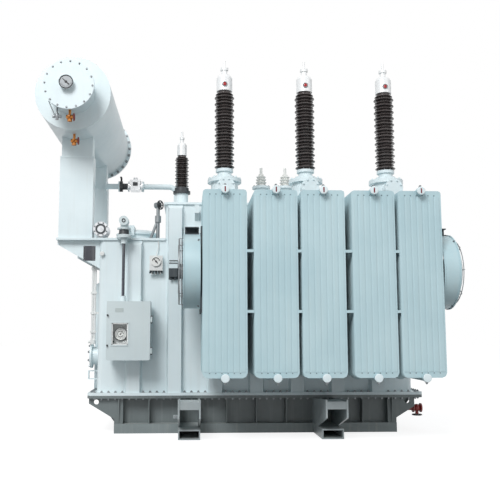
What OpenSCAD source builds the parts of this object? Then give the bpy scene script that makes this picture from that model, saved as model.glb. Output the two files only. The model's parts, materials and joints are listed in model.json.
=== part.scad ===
// Oil-filled power transformer on a skid base, in millimetres.
// X runs along the tank, the radiator front faces -Y, Z is up and the ground is Z = 0.
// Sizes below are measured from the middle of the tank; the frame moves it so the box is centred.

/* [Base] */
// How far the base rails stop short of the tank's ends
rail_inset = 240; // [210:5:300]
// Height of the rails and of the cross beams
rail_h = 122; // [100:2:140]
// Width of each base rail
rail_w = 120; // [90:5:140]
// Distance of each cross beam from the middle of the tank
skid_x = 880; // [820:10:940]
// Width of each cross beam
skid_w = 270; // [240:2:290]
// Length of each cross beam
skid_l = 3180; // [3000:20:3300]
// Plate thickness of the cross beams
skid_t = 16; // [12:1:20]
// How far a jacking bracket reaches from the tank's middle
jack_reach = 1850; // [1750:10:1900]
// Plate thickness of the jacking brackets
jack_t = 20; // [14:1:26]

/* [Tank] */
// Length of the bell tank
tank_l = 4180; // [4100:10:4300]
// Width of the bell tank
tank_w = 1850; // [1800:10:1880]
// Radius of the upright tank corners
tank_corner_r = 70; // [40:5:100]
// Height of the joint between the two tank flanges
joint_z = 484; // [470:2:500]
// Thickness of each tank flange
flange_t = 36; // [28:1:40]
// How far the tank flanges stand out
flange_out = 110; // [90:5:125]
// How far the tank wall rises above the radiators
wall_rise = 41; // [36:1:80]
// Thickness of the main cover
cover_t = 30; // [20:1:36]
// How far the main cover stands out
cover_out = 25; // [10:1:30]
// Gap between the step of the tank and the nearest stiffener
step_gap = 31; // [20:1:60]
// How far the deck's underside lies below the top of the tank wall
deck_drop = 492; // [470:1:540]
// Thickness of the deck's edge
deck_t = 30; // [24:1:40]
// How far the deck reaches past the tank end
deck_reach = 575; // [560:5:600]
// Distance of the outer wall stiffeners from the tank's ends
stiff_inset = 479; // [455:1:530]
// Width of a wall stiffener at the wall
stiff_w = 210; // [180:5:220]
// How far a wall stiffener stands out
stiff_out = 90; // [70:2:100]

/* [Radiators] */
// Width of a radiator panel
panel_w = 520; // [500:2:530]
// Height of a radiator panel
panel_h = 2202; // [2160:2:2220]
// Height of the radiator's lower edge
panel_z = 772; // [760:2:790]
// Panels in each radiator
panel_n = 20; // [16:1:20]
// Spacing of the panels
panel_pitch = 48; // [42:1:48]
// Thickness of a panel over its flutes
panel_t = 14; // [10:1:16]
// Thickness of the seam between two flutes
seam_t = 4; // [3:0.5:5]
// Flutes across each panel
flute_n = 7; // [5:1:8]
// Wider step between neighbouring radiators
wide_step = 600; // [590:1:610]
// Narrower step between neighbouring radiators
narrow_step = 562; // [558:1:580]
// Place of the first radiator along the tank
first_radiator_x = -474; // [-500:1:-465]
// Outer radius of the radiator header pipes
header_r = 40; // [34:1:42]
// How far the fronts of the radiators stand from the tank's middle
radiator_front = 2175; // [2160:1:2200]

/* [Fans] */
// Outer radius of a fan cowl
fan_r = 455; // [430:5:470]
// Length of a fan cowl
fan_l = 205; // [180:5:220]
// Height of the fan axes above the radiators' lower edge
fan_rise = 1268; // [1200:4:1290]
// Sheet thickness of a fan cowl
cowl_t = 8; // [5:1:10]
// How far a fan guard stands out from its cowl
guard_out = 62; // [50:2:70]
// Blades on a fan
blade_n = 5; // [4:1:7]

/* [Conservator] */
// Radius of the conservator drum
drum_r = 490; // [470:5:505]
// Length of the conservator drum
drum_l = 2750; // [2650:10:2800]
// How far the drum's axis lies past the tank's end
drum_past = 325; // [310:5:350]
// Height of the drum's axis above the main cover
drum_rise = 1345; // [1310:5:1400]
// Radius of the tap changer's oil chamber
chamber_r = 285; // [260:5:300]
// Length of the tap changer's oil chamber
chamber_l = 330; // [280:5:360]
// Width of a conservator pillar
pillar_w = 450; // [420:5:470]
// Depth of a conservator pillar
pillar_d = 210; // [180:5:240]
// Height of the pipe from the conservator above the main cover
oil_pipe_rise = 385; // [340:5:430]
// Outer radius of that pipe
oil_pipe_r = 40; // [32:1:45]

/* [Bushings] */
// Place of the first high-voltage bushing along the tank
hv_x = -400; // [-420:1:-380]
// Spacing of the high-voltage bushings
hv_pitch = 1145; // [1100:5:1150]
// Distance of the high-voltage bushings from the tank's middle
hv_y = -650; // [-680:5:-600]
// Radius of a high-voltage turret
hv_turret_r = 190; // [170:2:195]
// Height of a high-voltage turret's flange above the main cover
hv_turret_h = 355; // [330:5:380]
// Height of the neck between that flange and the porcelain
hv_neck_h = 170; // [150:5:200]
// Length of the high-voltage porcelain
hv_porcelain_l = 1130; // [1050:5:1160]
// Radius of the large high-voltage sheds
hv_shed_r = 140; // [130:1:150]
// Large sheds on a high-voltage bushing
hv_shed_n = 12; // [9:1:12]

/* [Drive cabinet] */
// How far the drive cabinet reaches to the left of the stiffener behind it
cab_past = 321; // [310:1:340]
// Width of the drive cabinet
cab_w = 552; // [520:2:556]
// Height of the drive cabinet's underside above the tank flange
cab_rise = 425; // [410:1:460]
// Height of the drive cabinet
cab_h = 745; // [700:5:760]
// Depth of the drive cabinet without its door
cab_d = 270; // [240:5:280]
// Wall thickness of the drive cabinet
cab_t = 6; // [4:1:10]
// Thickness of the cabinet door
door_t = 30; // [24:1:36]
// Gap between the closed door and the cabinet
door_gap = 6; // [5:0.5:8]

/* [Hidden] */
$fn = 72;

// Gap between curved faces that meet
curve_gap = 0.3;

// Gap around a hinge pin
pin_gap = 0.2;

// Half sizes of the tank and of its flanges
half_l = tank_l / 2;
half_w = tank_w / 2;
rail_l = tank_l - 2 * rail_inset;
flange_half_l = half_l + flange_out;
flange_half_w = half_w + flange_out;

// Levels of the base and the tank
lower_flange_z = joint_z - flange_t;
wall_z = joint_z + flange_t;
tank_top_z = panel_z + panel_h + wall_rise;
cover_z = tank_top_z + cover_t;
deck_wall_z = tank_top_z - deck_drop;
deck_z = deck_wall_z + deck_t;

// Base rails and the tray wall behind them
rail_y = 865;
tray_half_w = rail_y;
rail_front_y = rail_y + rail_w;

// Jacking brackets, their pads and the earthing lugs on them
jack_foot_rise = 160;
jack_foot_y = 1290;
jack_top_z = joint_z + 14;
pad_l = 318;
pad_t = 90;
earth_lug_l = 53;
earth_lug_h = 40;
earth_lug_t = 12;
earth_hole_r = 8;

// Ribs and corner plates of the tray
tray_rib_t = 14;
tray_rib_end = 60;
tray_rib_second = 450;
tray_rib_inner = 390;
tray_rib_xs = [rail_l / 2 - tray_rib_end, rail_l / 2 - tray_rib_second, tray_rib_inner, 0];
corner_plate_t = 16;
corner_overlap = 115;
corner_foot_h = 62;
corner_slope = 0.6;
corner_left_inset = 22;
corner_right_inset = 105;
hauling_hole_r = 32;
hauling_hole_drop = 48;

// Spacing of the wall stiffeners
stiff_pitch = (half_l - stiff_inset) / 3;

// The step between the lower section and the main tank
step_x = -2 * stiff_pitch - stiff_w / 2 - step_gap;
deck_l = step_x + half_l;
drum_x = -half_l - drum_past;
deck_left_x = -half_l - deck_reach;

// Outer face of the wall stiffeners on the long walls
stiff_y = half_w + stiff_out;
stiff_fold = 20;
stiff_slope_h = 60;
stiff_top_gap = 6;
behind_header_drop = 120;
end_stiff_y = 400;
end_stiff_drop = 500;

// Level rib between two front stiffeners
level_rib_drop = 416;
level_rib_h = 98;
level_rib_out = 40;

// Lifting hooks
hook_off = 17.5;
hook_x = 1.5 * stiff_pitch - hook_off;
hook_t = 60;
hook_out = 110;
hook_h = 205;
hook_drop = 225;
hook_lip = 28;

// Gussets under the overhanging deck
gusset_t = 16;
gusset_inset = 60;
gusset_edge_h = 55;
gusset_h = 375;

// Radiator rows, their depth and their header heights
pair_step = wide_step + narrow_step;
radiator_steps = [0, wide_step, pair_step, pair_step + wide_step, 2 * pair_step];
radiator_xs = [for (s = radiator_steps) first_radiator_x + s];
panel_back = radiator_front - (panel_n - 1) * panel_pitch - panel_t;
header_low_inset = 2;
header_high_inset = 12;
header_low_z = panel_z + header_low_inset;
header_high_z = panel_z + panel_h - header_high_inset;
flute_margin = 70;
cap_r = 48;
cap_out = 70;
pipe_flange_out = 38;
pipe_flange_t = 18;
stub_valve_l = 60;
tie_low_rise = 765;
tie_high_rise = 1472;
tie_zs = [panel_z + tie_low_rise, panel_z + tie_high_rise];
tie_h = 32;
tie_d = 110;

// Fan places along the tank and across it
fan_gap = 22;
fan_y = 1700;
fan_z = panel_z + fan_rise;
row_left_x = radiator_xs[0] - panel_w / 2;
row_right_x = radiator_xs[4] + panel_w / 2;
fan_left_x = row_left_x - fan_gap - fan_l;
fan_right_x = row_right_x + fan_gap + fan_l;
guard_r = 410;
guard_wire = 8;
guard_stand = 16;
guard_hub_r = 70;
rim_out = 10;
rim_t = 14;
motor_r = 95;
motor_l = 120;
mount_w = 50;
mount_spread = 300;
mount_past = 60;
channel_h = 92;
channel_d = 90;
channel_t = 12;

// The frame's centre from the reach on both sides
drum_flange_out = 45;
left_reach = -drum_x + drum_r + drum_flange_out;
right_reach = fan_right_x + guard_out;
frame_x = (left_reach - right_reach) / 2;

// Levels of the conservator
drum_z = cover_z + drum_rise;
drum_wall = 8;
drum_flange_t = 22;
drum_cover_t = 20;
chamber_plate_t = 14;
chamber_flange_out = 36;
chamber_flange_t = 18;
pillar_seam_drop = 228;
saddle_rise = 60;
chamber_valve_out = 200;
drum_valve_in = 185;
saddle_inset = 18;

// Oil pipe between the conservator and the tank, with its valve and relay
oil_pipe_z = cover_z + oil_pipe_rise;
oil_pipe_y = -100;
oil_pipe_bend = 110;
oil_drop_x = drum_x + 30;
oil_flange_r = oil_pipe_r + pipe_flange_out;
pipe_joint_off = 290;
pipe_joint_x = drum_x + pipe_joint_off;
pipe_valve_off = 502;
pipe_valve_x = drum_x + pipe_valve_off;
pipe_valve_l = 123;
relay_x0 = pipe_valve_x + pipe_valve_l;
relay_l = 213;
oil_rise_in = 130;
oil_rise_x = step_x + oil_rise_in;

// Levels and sizes of the bushings
hv_xs = [for (i = [0:2]) hv_x + i * hv_pitch];
hv_turret_z = cover_z + hv_turret_h;
hv_porcelain_z = hv_turret_z + hv_neck_h;
hv_flange_r = 236;
hv_flange_t = 26;
hv_neck_r = 98;
hv_core_r = 90;
hv_cap_r = 112;
hv_cap_l = 460;
box_reach = 400;
box_y = hv_y - box_reach;
box_rise = 207;
box_z = cover_z + box_rise;
box_r = 104;
box_flange_r = 122;
neutral_off = 77;
neutral_x = -2 * stiff_pitch + neutral_off;
neutral_y = hv_y;
neutral_r = 88;
neutral_flange_r = 118;
neutral_turret_h = 255;
neutral_porcelain_z = cover_z + neutral_turret_h;
neutral_porcelain_l = 460;
neutral_cap_r = 66;
neutral_cap_l = 345;
lv_x = 232;
lv_pitch = 376;
lv_xs = [for (i = [0:2]) lv_x + i * lv_pitch];
lv_y = 450;
lv_r = 105;
lv_turret_h = 515;
lv_flange_z = cover_z + lv_turret_h;
lv_flange_r = 140;

// Drive cabinet faces and its hinge axis
cab_corner_r = 25;
cab_x = -3 * stiff_pitch - cab_past;
cab_z = wall_z + cab_rise;
cab_right = cab_x + cab_w;
cab_back_y = -stiff_y;
cab_front_y = cab_back_y - cab_d;
door_back_y = cab_front_y - door_gap;
door_front_y = door_back_y - door_t;
hinge_x = cab_right + 16;
hinge_y = (door_back_y + door_front_y) / 2;
hinge_zs = [cab_z + 0.16 * cab_h, cab_z + 0.69 * cab_h];
window_x0 = cab_x + 68;
window_x1 = window_x0 + 206;
window_z0 = cab_z + 193;
window_h = 276;
window_z1 = window_z0 + window_h;

// Drive line of the tap changer
shaft_x = cab_x + 187;
shaft_y = cab_back_y - 135;
shaft_r = 19;
coupling_r = 34;
coupling_l = 75;
gear_rise = 222;
gear_z = deck_wall_z + gear_rise;
gear_eye_r = 62;
gear_shelf_half = 95;
cross_shaft_r = 20;
head_x = -half_l + deck_l / 2;
head_r = 340;
head_h = 230;
head_box_y = -head_r - 20;
head_box_half = 70;

// Fittings on the deck
deck_valve_x = -half_l + 14;
deck_valve_rise = 120;
deck_valve_z = deck_z + deck_valve_rise;
deck_valve_front = half_w + 20;
deck_valve_l = 262;
deck_valve_r = 66;
deck_valve_flange_r = 100;
filter_x = step_x - cover_out - 87;
filter_y = -700;
filter_z = cover_z;
filter_pipe_r = 24;
filter_body_r = 42;
filter_turn = 50;
filter_face = 28;
filter_wheel_r = 66;

// Instruments on the tank wall
thermometer_off = 14.5;
thermometer_x = -2.5 * stiff_pitch + thermometer_off;
thermometer_drop = 313;
thermometer_half = 86;
thermometer_z = deck_wall_z - thermometer_drop;
junction_x = -2 * stiff_pitch - 24;
junction_drop = 501;
junction_z = deck_wall_z - junction_drop;
junction_w = 122;
junction_plate_h = 230;
junction_case_h = 118;
clamp_rises = [146, 190];

// Fittings on the tank end
breather_x = -half_l - 81;
breather_y = -750;
breather_rise = 650;
breather_drop = 263;
breather_z0 = wall_z + breather_rise;
breather_l = deck_wall_z - breather_drop - breather_z0;
breather_tube_r = 15;
side_valve_y = -640;
side_valve_rise = 465;
side_valve_z = wall_z + side_valve_rise;
side_valve_r = 120;
side_valve_flange_r = 165;
side_valve_l = 95;

// Drain valve on the tray
drain_rise = 168;
drain_z = rail_h + drain_rise;
drain_y = -780;
drain_r = 34;
drain_out = 215;
drain_flange_r = 60;
drain_wheel_r = 68;
wheel_wire = 9;

// Colours of the plain model
paint = [0.72, 0.83, 0.86];
shade = [0.62, 0.72, 0.75];
dark = [0.25, 0.27, 0.28];
porcelain = [0.20, 0.16, 0.15];
pale = [0.92, 0.93, 0.93];
brass = [0.80, 0.55, 0.25];
red = [0.60, 0.12, 0.12];
glass = [0.75, 0.85, 0.88];

// Every sub-part, each in a solid of its own

// Which sub-part to draw

// Box between two corners
module block(low, high) {
    translate(low) cube(high - low);
}

// Cylinder along X, Y or Z from one place to the next
module rod_x(x0, x1, y, z, r) {
    translate([x0, y, z]) rotate([0, 90, 0]) cylinder(h = x1 - x0, r = r);
}

module rod_y(x, y0, y1, z, r) {
    translate([x, y1, z]) rotate([90, 0, 0]) cylinder(h = y1 - y0, r = r);
}

module rod_z(x, y, z0, z1, r) {
    translate([x, y, z0]) cylinder(h = z1 - z0, r = r);
}

// Rectangle with round corners
module rounded_rect(l, w, r) {
    square([l - 2 * r, w], center = true);
    square([l, w - 2 * r], center = true);
    for (sx = [-1, 1], sy = [-1, 1]) {
        translate([sx * (l / 2 - r), sy * (w / 2 - r)]) circle(r);
    }
}

// Plate cut to an outline in X and Z, from y0 to y1
module side_plate(points, y0, y1) {
    translate([0, y1, 0]) rotate([90, 0, 0]) linear_extrude(y1 - y0) polygon(points);
}

// Plate cut to an outline in Y and Z, from x0 to x1
module cross_plate(points, x0, x1) {
    translate([x0, 0, 0]) rotate([90, 0, 90]) linear_extrude(x1 - x0) polygon(points);
}

// Quarter bend of a pipe, from level along X to upright
module pipe_bend(r, bend) {
    rotate([90, 0, 0]) rotate_extrude(angle = 90) translate([bend, 0]) circle(r);
}

// Ring of round wire about the Z axis
module wire_ring(r, wire) {
    rotate_extrude() translate([r - wire / 2, 0]) circle(d = wire);
}

// Both the front and the rear copy of a piece
module both_sides() {
    children();
    mirror([0, 1, 0]) children();
}

// Rails under the tray, cut where the cross beams pass
module base_rails() {
    half = skid_w / 2;
    color(shade) both_sides() {
        block([-rail_l / 2, -rail_front_y, 0], [-skid_x - half, -rail_y, rail_h]);
        block([-skid_x + half, -rail_front_y, 0], [skid_x - half, -rail_y, rail_h]);
        block([skid_x + half, -rail_front_y, 0], [rail_l / 2, -rail_y, rail_h]);
    }
}

// Open-ended box beams across the base
module skid_beams() {
    color(shade) for (x = [-skid_x, skid_x]) {
        difference() {
            block([x - skid_w / 2, -skid_l / 2, 0], [x + skid_w / 2, skid_l / 2, rail_h]);
            block([x - skid_w / 2 + skid_t, -skid_l / 2 - 1, skid_t],
                  [x + skid_w / 2 - skid_t, skid_l / 2 + 1, rail_h - skid_t]);
        }
    }
}

// Pair of upright plates with a pad between them, for a jack to lift on
module jack_bracket(x) {
    back = -flange_half_w - 12;
    shelf_z = lower_flange_z - 4;
    outline = [[-rail_y, rail_h], [-jack_foot_y, rail_h], [-jack_reach, rail_h + jack_foot_rise],
               [-jack_reach, jack_top_z], [back, shelf_z], [-rail_y, shelf_z]];
    half = skid_w / 2;
    pad_front = -jack_reach + 12;
    cross_plate(outline, x - half, x - half + jack_t);
    cross_plate(outline, x + half - jack_t, x + half);
    block([x - half + jack_t - 1, pad_front, joint_z - 10 - pad_t],
          [x + half - jack_t + 1, pad_front + pad_l, joint_z - 10]);
}

// Earthing lug on the outer side of a bracket
module earth_lug(x) {
    front = -jack_reach + 60;
    z = rail_h + jack_foot_rise;
    difference() {
        block([x - earth_lug_l, front, z], [x + 1, front + earth_lug_t, z + earth_lug_h]);
        rod_y(x - earth_lug_l / 2, front - 1, front + earth_lug_t + 1, z + earth_lug_h / 2, earth_hole_r);
    }
}

// Four jacking brackets on the cross beams
module jack_brackets() {
    color(shade) both_sides() {
        union() {
            jack_bracket(-skid_x);
            earth_lug(-skid_x - skid_w / 2);
        }
        jack_bracket(skid_x);
    }
}

// Rib between the lower flange and the rail
module tray_rib(x) {
    outline = [[-rail_y + 1, rail_h], [-rail_front_y + 8, rail_h], [-flange_half_w + 12, lower_flange_z + 1],
               [-rail_y + 1, lower_flange_z + 1]];
    cross_plate(outline, x - tray_rib_t / 2, x + tray_rib_t / 2);
}

// Plate that closes a corner of the tray, with a hauling hole; inset is from the flange's end
module tray_corner_plate(inset) {
    outer = flange_half_l - inset;
    inner = rail_l / 2 - corner_overlap;
    foot_z = rail_h + corner_foot_h;
    corner_z = min(foot_z + corner_slope * (outer - rail_l / 2), lower_flange_z - 10);
    outline = [[inner, rail_h], [rail_l / 2, rail_h], [rail_l / 2, foot_z], [outer, corner_z],
               [outer, lower_flange_z + 1], [inner, lower_flange_z + 1]];
    front = -rail_front_y + 10;
    difference() {
        side_plate(outline, front, front + corner_plate_t);
        rod_y(outer - 3 * hauling_hole_r, front - 1, front + corner_plate_t + 1,
              lower_flange_z - hauling_hole_drop, hauling_hole_r);
    }
}

// Outline of the tray seen from the front
tray_outline = [[-half_l, lower_flange_z + 1], [-rail_l / 2, rail_h], [rail_l / 2, rail_h],
                [half_l, lower_flange_z + 1]];

// Boat-shaped tray under the bell, with its flange and ribs
module lower_tank() {
    color(paint) union() {
        side_plate(tray_outline, -tray_half_w, tray_half_w);
        translate([0, 0, lower_flange_z]) linear_extrude(flange_t)
            rounded_rect(2 * flange_half_l, 2 * flange_half_w, tank_corner_r);
        both_sides() {
            for (x = tray_rib_xs) {
                tray_rib(x);
                tray_rib(-x);
            }
            tray_corner_plate(corner_right_inset);
            mirror([1, 0, 0]) tray_corner_plate(corner_left_inset);
        }
    }
}

// Flange at the foot of the bell
module bell_flange() {
    color(paint) translate([0, 0, joint_z]) linear_extrude(flange_t)
        rounded_rect(2 * flange_half_l, 2 * flange_half_w, tank_corner_r);
}

// Closed tank with a lower section at the tap changer end
module tank_bell() {
    main_l = tank_l - deck_l;
    color(paint) union() {
        translate([0, 0, wall_z]) linear_extrude(deck_wall_z - wall_z)
            rounded_rect(tank_l, tank_w, tank_corner_r);
        translate([half_l - main_l / 2, 0, wall_z]) linear_extrude(tank_top_z - wall_z)
            rounded_rect(main_l, tank_w, tank_corner_r);
    }
}

// Folded stiffener on the front wall, closed by a slope at its top
module wall_stiffener(x, top) {
    foot = stiff_w / 2;
    face = foot - stiff_fold;
    slope = [[-half_w, wall_z], [-stiff_y, wall_z], [-stiff_y, top - stiff_slope_h], [-half_w, top]];
    intersection() {
        translate([x, 0, wall_z]) linear_extrude(top - wall_z)
            polygon([[-foot, -half_w], [-face, -stiff_y], [face, -stiff_y], [foot, -half_w]]);
        cross_plate(slope, x - foot, x + foot);
    }
}

// Level rib on the wall between the second and third stiffeners
module level_rib() {
    x0 = -2 * stiff_pitch + stiff_w / 2 + stiff_top_gap;
    x1 = -stiff_pitch - stiff_w / 2 - stiff_top_gap;
    z0 = tank_top_z - level_rib_drop;
    block([x0, -half_w - level_rib_out, z0], [x1, -half_w, z0 + level_rib_h]);
}

// Stiffeners on both long walls and on the ends
module tank_stiffeners() {
    high = tank_top_z - stiff_top_gap;
    low = deck_wall_z - stiff_top_gap;
    color(paint) {
        both_sides() {
            wall_stiffener(-3 * stiff_pitch, low);
            wall_stiffener(-2 * stiff_pitch, high);
            for (i = [-1:3]) {
                wall_stiffener(i * stiff_pitch, header_high_z - behind_header_drop);
            }
            level_rib();
        }
        for (y = [-end_stiff_y, end_stiff_y]) {
            translate([half_l - half_w, y, 0]) rotate([0, 0, 90]) wall_stiffener(0, high);
            translate([half_w - half_l, y, 0]) rotate([0, 0, -90]) wall_stiffener(0, low - end_stiff_drop);
        }
    }
}

// Main cover plate
module tank_cover() {
    main_l = tank_l - deck_l + 2 * cover_out;
    color(paint) translate([step_x - cover_out + main_l / 2, 0, tank_top_z]) linear_extrude(cover_t)
        rounded_rect(main_l, tank_w + 2 * cover_out, tank_corner_r);
}

// Deck over the lower section, carried past the tank end on two gussets
module tap_changer_deck() {
    half = half_w + cover_out;
    left = deck_left_x + 8;
    gusset = [[left, deck_wall_z + 1], [left, deck_wall_z - gusset_edge_h], [-half_l, deck_wall_z - gusset_h],
              [-half_l, deck_wall_z + 1]];
    face = -half_w + gusset_inset;
    color(paint) union() {
        block([deck_left_x, -half, deck_wall_z], [step_x, half, deck_z]);
        both_sides() side_plate(gusset, face, face + gusset_t);
    }
}

// Hook plate welded to the tank wall
module lifting_hook(x) {
    tip = -half_w - hook_out;
    z = tank_top_z - hook_drop;
    outline = [[-half_w, z], [tip, z + 0.46 * hook_h], [tip, z + hook_h], [tip + hook_lip, z + hook_h],
               [tip + 1.4 * hook_lip, z + 0.6 * hook_h], [-half_w, z + 0.5 * hook_h]];
    cross_plate(outline, x - hook_t / 2, x + hook_t / 2);
}

// Four hooks to lift the tank by
module lifting_hooks() {
    color(paint) both_sides() {
        lifting_hook(-hook_x);
        lifting_hook(hook_x);
    }
}

// Box pillar with a saddle under the drum
module conservator_pillar() {
    under_z = drum_z - drum_r;
    seam_z = under_z - pillar_seam_drop;
    half = pillar_w / 2;
    y0 = -half_w;
    y1 = y0 + pillar_d;
    difference() {
        union() {
            block([drum_x - half, y0, deck_z], [drum_x + half, y1, seam_z]);
            block([drum_x - half + saddle_inset, y0 + 8, seam_z - 1],
                  [drum_x + half - saddle_inset, y1, under_z + saddle_rise]);
        }
        rod_y(drum_x, y0 - 20, y1 + 20, drum_z, drum_r + curve_gap);
    }
}

// Front and rear pillars of the conservator
module conservator_pillars() {
    color(paint) both_sides() conservator_pillar();
}

// Drum shell with the flange of its rear cover
module conservator_drum() {
    half = drum_l / 2;
    color(paint) difference() {
        union() {
            rod_y(drum_x, -half, half, drum_z, drum_r);
            rod_y(drum_x, half - drum_flange_t, half, drum_z, drum_r + drum_flange_out);
        }
        rod_y(drum_x, -half - 1, half + 1, drum_z, drum_r - drum_wall);
    }
}

// Cover bolted to the drum's rear flange
module conservator_rear_cover() {
    half = drum_l / 2;
    color(paint) rod_y(drum_x, half, half + drum_cover_t, drum_z, drum_r + drum_flange_out);
}

// Front end of the drum with the tap changer's own oil chamber on it
module tap_changer_chamber() {
    half = drum_l / 2;
    plate_y = -half - chamber_plate_t;
    front = plate_y - chamber_l;
    color(paint) difference() {
        union() {
            rod_y(drum_x, plate_y, -half, drum_z, drum_r);
            rod_y(drum_x, front, -half, drum_z, chamber_r);
            rod_y(drum_x, front, front + chamber_flange_t, drum_z, chamber_r + chamber_flange_out);
        }
        rod_y(drum_x, front - 1, plate_y, drum_z, chamber_r - drum_wall);
    }
}

// Front face of the chamber and of its cover
chamber_front_y = -drum_l / 2 - chamber_plate_t - chamber_l;
chamber_face_y = chamber_front_y - chamber_flange_t;

// Cover bolted to the chamber
module chamber_cover() {
    color(paint) rod_y(drum_x, chamber_face_y, chamber_front_y, drum_z, chamber_r + chamber_flange_out);
}

// Dial that shows the oil level
module oil_level_gauge() {
    x = drum_x - 20;
    z = drum_z + 6;
    stem_l = 40;
    dial_t = 24;
    color(pale) union() {
        rod_y(x, chamber_face_y - stem_l, chamber_face_y, z, 55);
        rod_y(x, chamber_face_y - stem_l - dial_t + 2, chamber_face_y - stem_l + 2, z, 88);
    }
}

// Small brass valve hanging from a drum whose underside is at z
module hanging_valve(y, z) {
    union() {
        rod_z(drum_x, y, z - 130, z - curve_gap, 17);
        rod_x(drum_x - 42, drum_x + 42, y, z - 90, 26);
        rod_y(drum_x, y - 62, y, z - 90, 14);
        rod_z(drum_x, y, z - 150, z - 122, 30);
    }
}

// Two drain valves under the conservator
module conservator_valves() {
    color(brass) {
        hanging_valve(-drum_l / 2 - chamber_valve_out, drum_z - chamber_r);
        hanging_valve(-drum_l / 2 + drum_valve_in, drum_z - drum_r);
    }
}

// Oil pipes from the drum to the relay and from the relay to the main cover
module oil_pipes() {
    y = oil_pipe_y;
    bend = oil_pipe_bend;
    relay_x1 = relay_x0 + relay_l;
    color(paint) {
        union() {
            rod_z(oil_drop_x, y, oil_pipe_z + bend, drum_z - drum_r - 4, oil_pipe_r);
            translate([oil_drop_x + bend, y, oil_pipe_z + bend]) rotate([0, 180, 0])
                pipe_bend(oil_pipe_r, bend);
            rod_x(oil_drop_x + bend, pipe_valve_x, y, oil_pipe_z, oil_pipe_r);
            rod_x(pipe_joint_x, pipe_joint_x + pipe_flange_t, y, oil_pipe_z, oil_flange_r);
            rod_x(pipe_valve_x - pipe_flange_t, pipe_valve_x, y, oil_pipe_z, oil_flange_r);
        }
        union() {
            rod_x(relay_x1, oil_rise_x - bend, y, oil_pipe_z, oil_pipe_r);
            rod_x(relay_x1, relay_x1 + pipe_flange_t, y, oil_pipe_z, oil_flange_r);
            translate([oil_rise_x - bend, y, oil_pipe_z - bend]) pipe_bend(oil_pipe_r, bend);
            rod_z(oil_rise_x, y, cover_z, oil_pipe_z - bend, oil_pipe_r);
            rod_z(oil_rise_x, y, cover_z, cover_z + pipe_flange_t, oil_flange_r);
        }
    }
}

// Butterfly valve in the oil pipe
module pipe_valve() {
    y = oil_pipe_y;
    x = pipe_valve_x;
    disc_t = 43;
    spindle_h = 130;
    color(dark) union() {
        rod_x(x, relay_x0, y, oil_pipe_z, oil_pipe_r + 6);
        rod_x(x, x + disc_t, y, oil_pipe_z, oil_flange_r);
        rod_z(x + disc_t / 2, y, oil_pipe_z, oil_pipe_z + spindle_h, 14);
        block([x + 8, y - 70, oil_pipe_z + spindle_h - 12], [x + 34, y + 20, oil_pipe_z + spindle_h + 4]);
    }
}

// Gas relay between the valve and the tank
module gas_relay() {
    y = oil_pipe_y;
    x1 = relay_x0 + relay_l;
    xm = (relay_x0 + x1) / 2;
    half = 70;
    lid_z = oil_pipe_z + half;
    lid_t = 19;
    color(pale) union() {
        rod_x(relay_x0, x1, y, oil_pipe_z, oil_pipe_r + 4);
        rod_x(relay_x0, relay_x0 + pipe_flange_t, y, oil_pipe_z, oil_flange_r);
        rod_x(x1 - pipe_flange_t, x1, y, oil_pipe_z, oil_flange_r);
        block([xm - half, y - half, oil_pipe_z - half], [xm + half, y + half, lid_z + 1]);
        block([xm - half - 9, y - half - 9, lid_z], [xm + half + 9, y + half + 9, lid_z + lid_t]);
        rod_z(xm, y, lid_z + lid_t - 1, lid_z + lid_t + 42, 34);
    }
}

// Turret with a round terminal box on its front
module hv_turret(x) {
    foot_t = 24;
    step_h = 44;
    collar_t = 40;
    union() {
        rod_z(x, hv_y, cover_z, hv_turret_z, hv_turret_r);
        rod_z(x, hv_y, cover_z, cover_z + foot_t, hv_turret_r + 40);
        rod_z(x, hv_y, hv_turret_z - hv_flange_t, hv_turret_z + hv_flange_t, hv_flange_r);
        rod_z(x, hv_y, hv_turret_z, hv_turret_z + hv_flange_t + step_h, hv_neck_r + 40);
        rod_z(x, hv_y, hv_turret_z + step_h, hv_porcelain_z - collar_t + 2, hv_neck_r);
        rod_z(x, hv_y, hv_porcelain_z - collar_t, hv_porcelain_z, hv_neck_r + 24);
        rod_y(x, box_y + 18, hv_y, box_z, box_r);
        rod_y(x, box_y, box_y + 20, box_z, box_flange_r);
    }
}

// Three turrets on the main cover
module hv_turrets() {
    color(paint) for (x = hv_xs) {
        hv_turret(x);
    }
}

// Outline of one shed, from the core out and back
function shed(z, core, r, rise) = [[core, z], [r - 4, z + 0.10 * rise], [r, z + 0.16 * rise],
                                   [r - 2, z + 0.24 * rise], [core, z + 0.62 * rise]];

// Porcelain with large sheds and smaller ones between them
module shed_porcelain(l, n, core, large, small) {
    margin = 18;
    pitch = (l - 2 * margin) / n;
    sheds = [for (i = [0:n - 1]) each concat(shed(margin + i * pitch, core, large, pitch * 0.8),
                                             shed(margin + (i + 0.56) * pitch, core, small, pitch * 0.6))];
    rotate_extrude() polygon(concat([[0, 0], [core, 0]], sheds, [[core, l], [0, l]]));
}

// Three tall insulators
module hv_insulators() {
    color(porcelain) for (x = hv_xs) {
        translate([x, hv_y, hv_porcelain_z])
            shed_porcelain(hv_porcelain_l, hv_shed_n, hv_core_r, hv_shed_r, hv_shed_r - 15);
    }
}

// Cap and stud on top of an insulator
stud_r = 15;
module terminal(x, y, z, r, h) {
    outline = [[0, 0], [r, 0], [r, 0.42 * h], [0.8 * r, 0.5 * h], [0.36 * r, 0.52 * h], [0.36 * r, 0.66 * h],
               [0.5 * r, 0.68 * h], [0.5 * r, 0.76 * h], [stud_r, 0.78 * h], [stud_r, h], [0, h]];
    translate([x, y, z]) rotate_extrude() polygon(outline);
}

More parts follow.
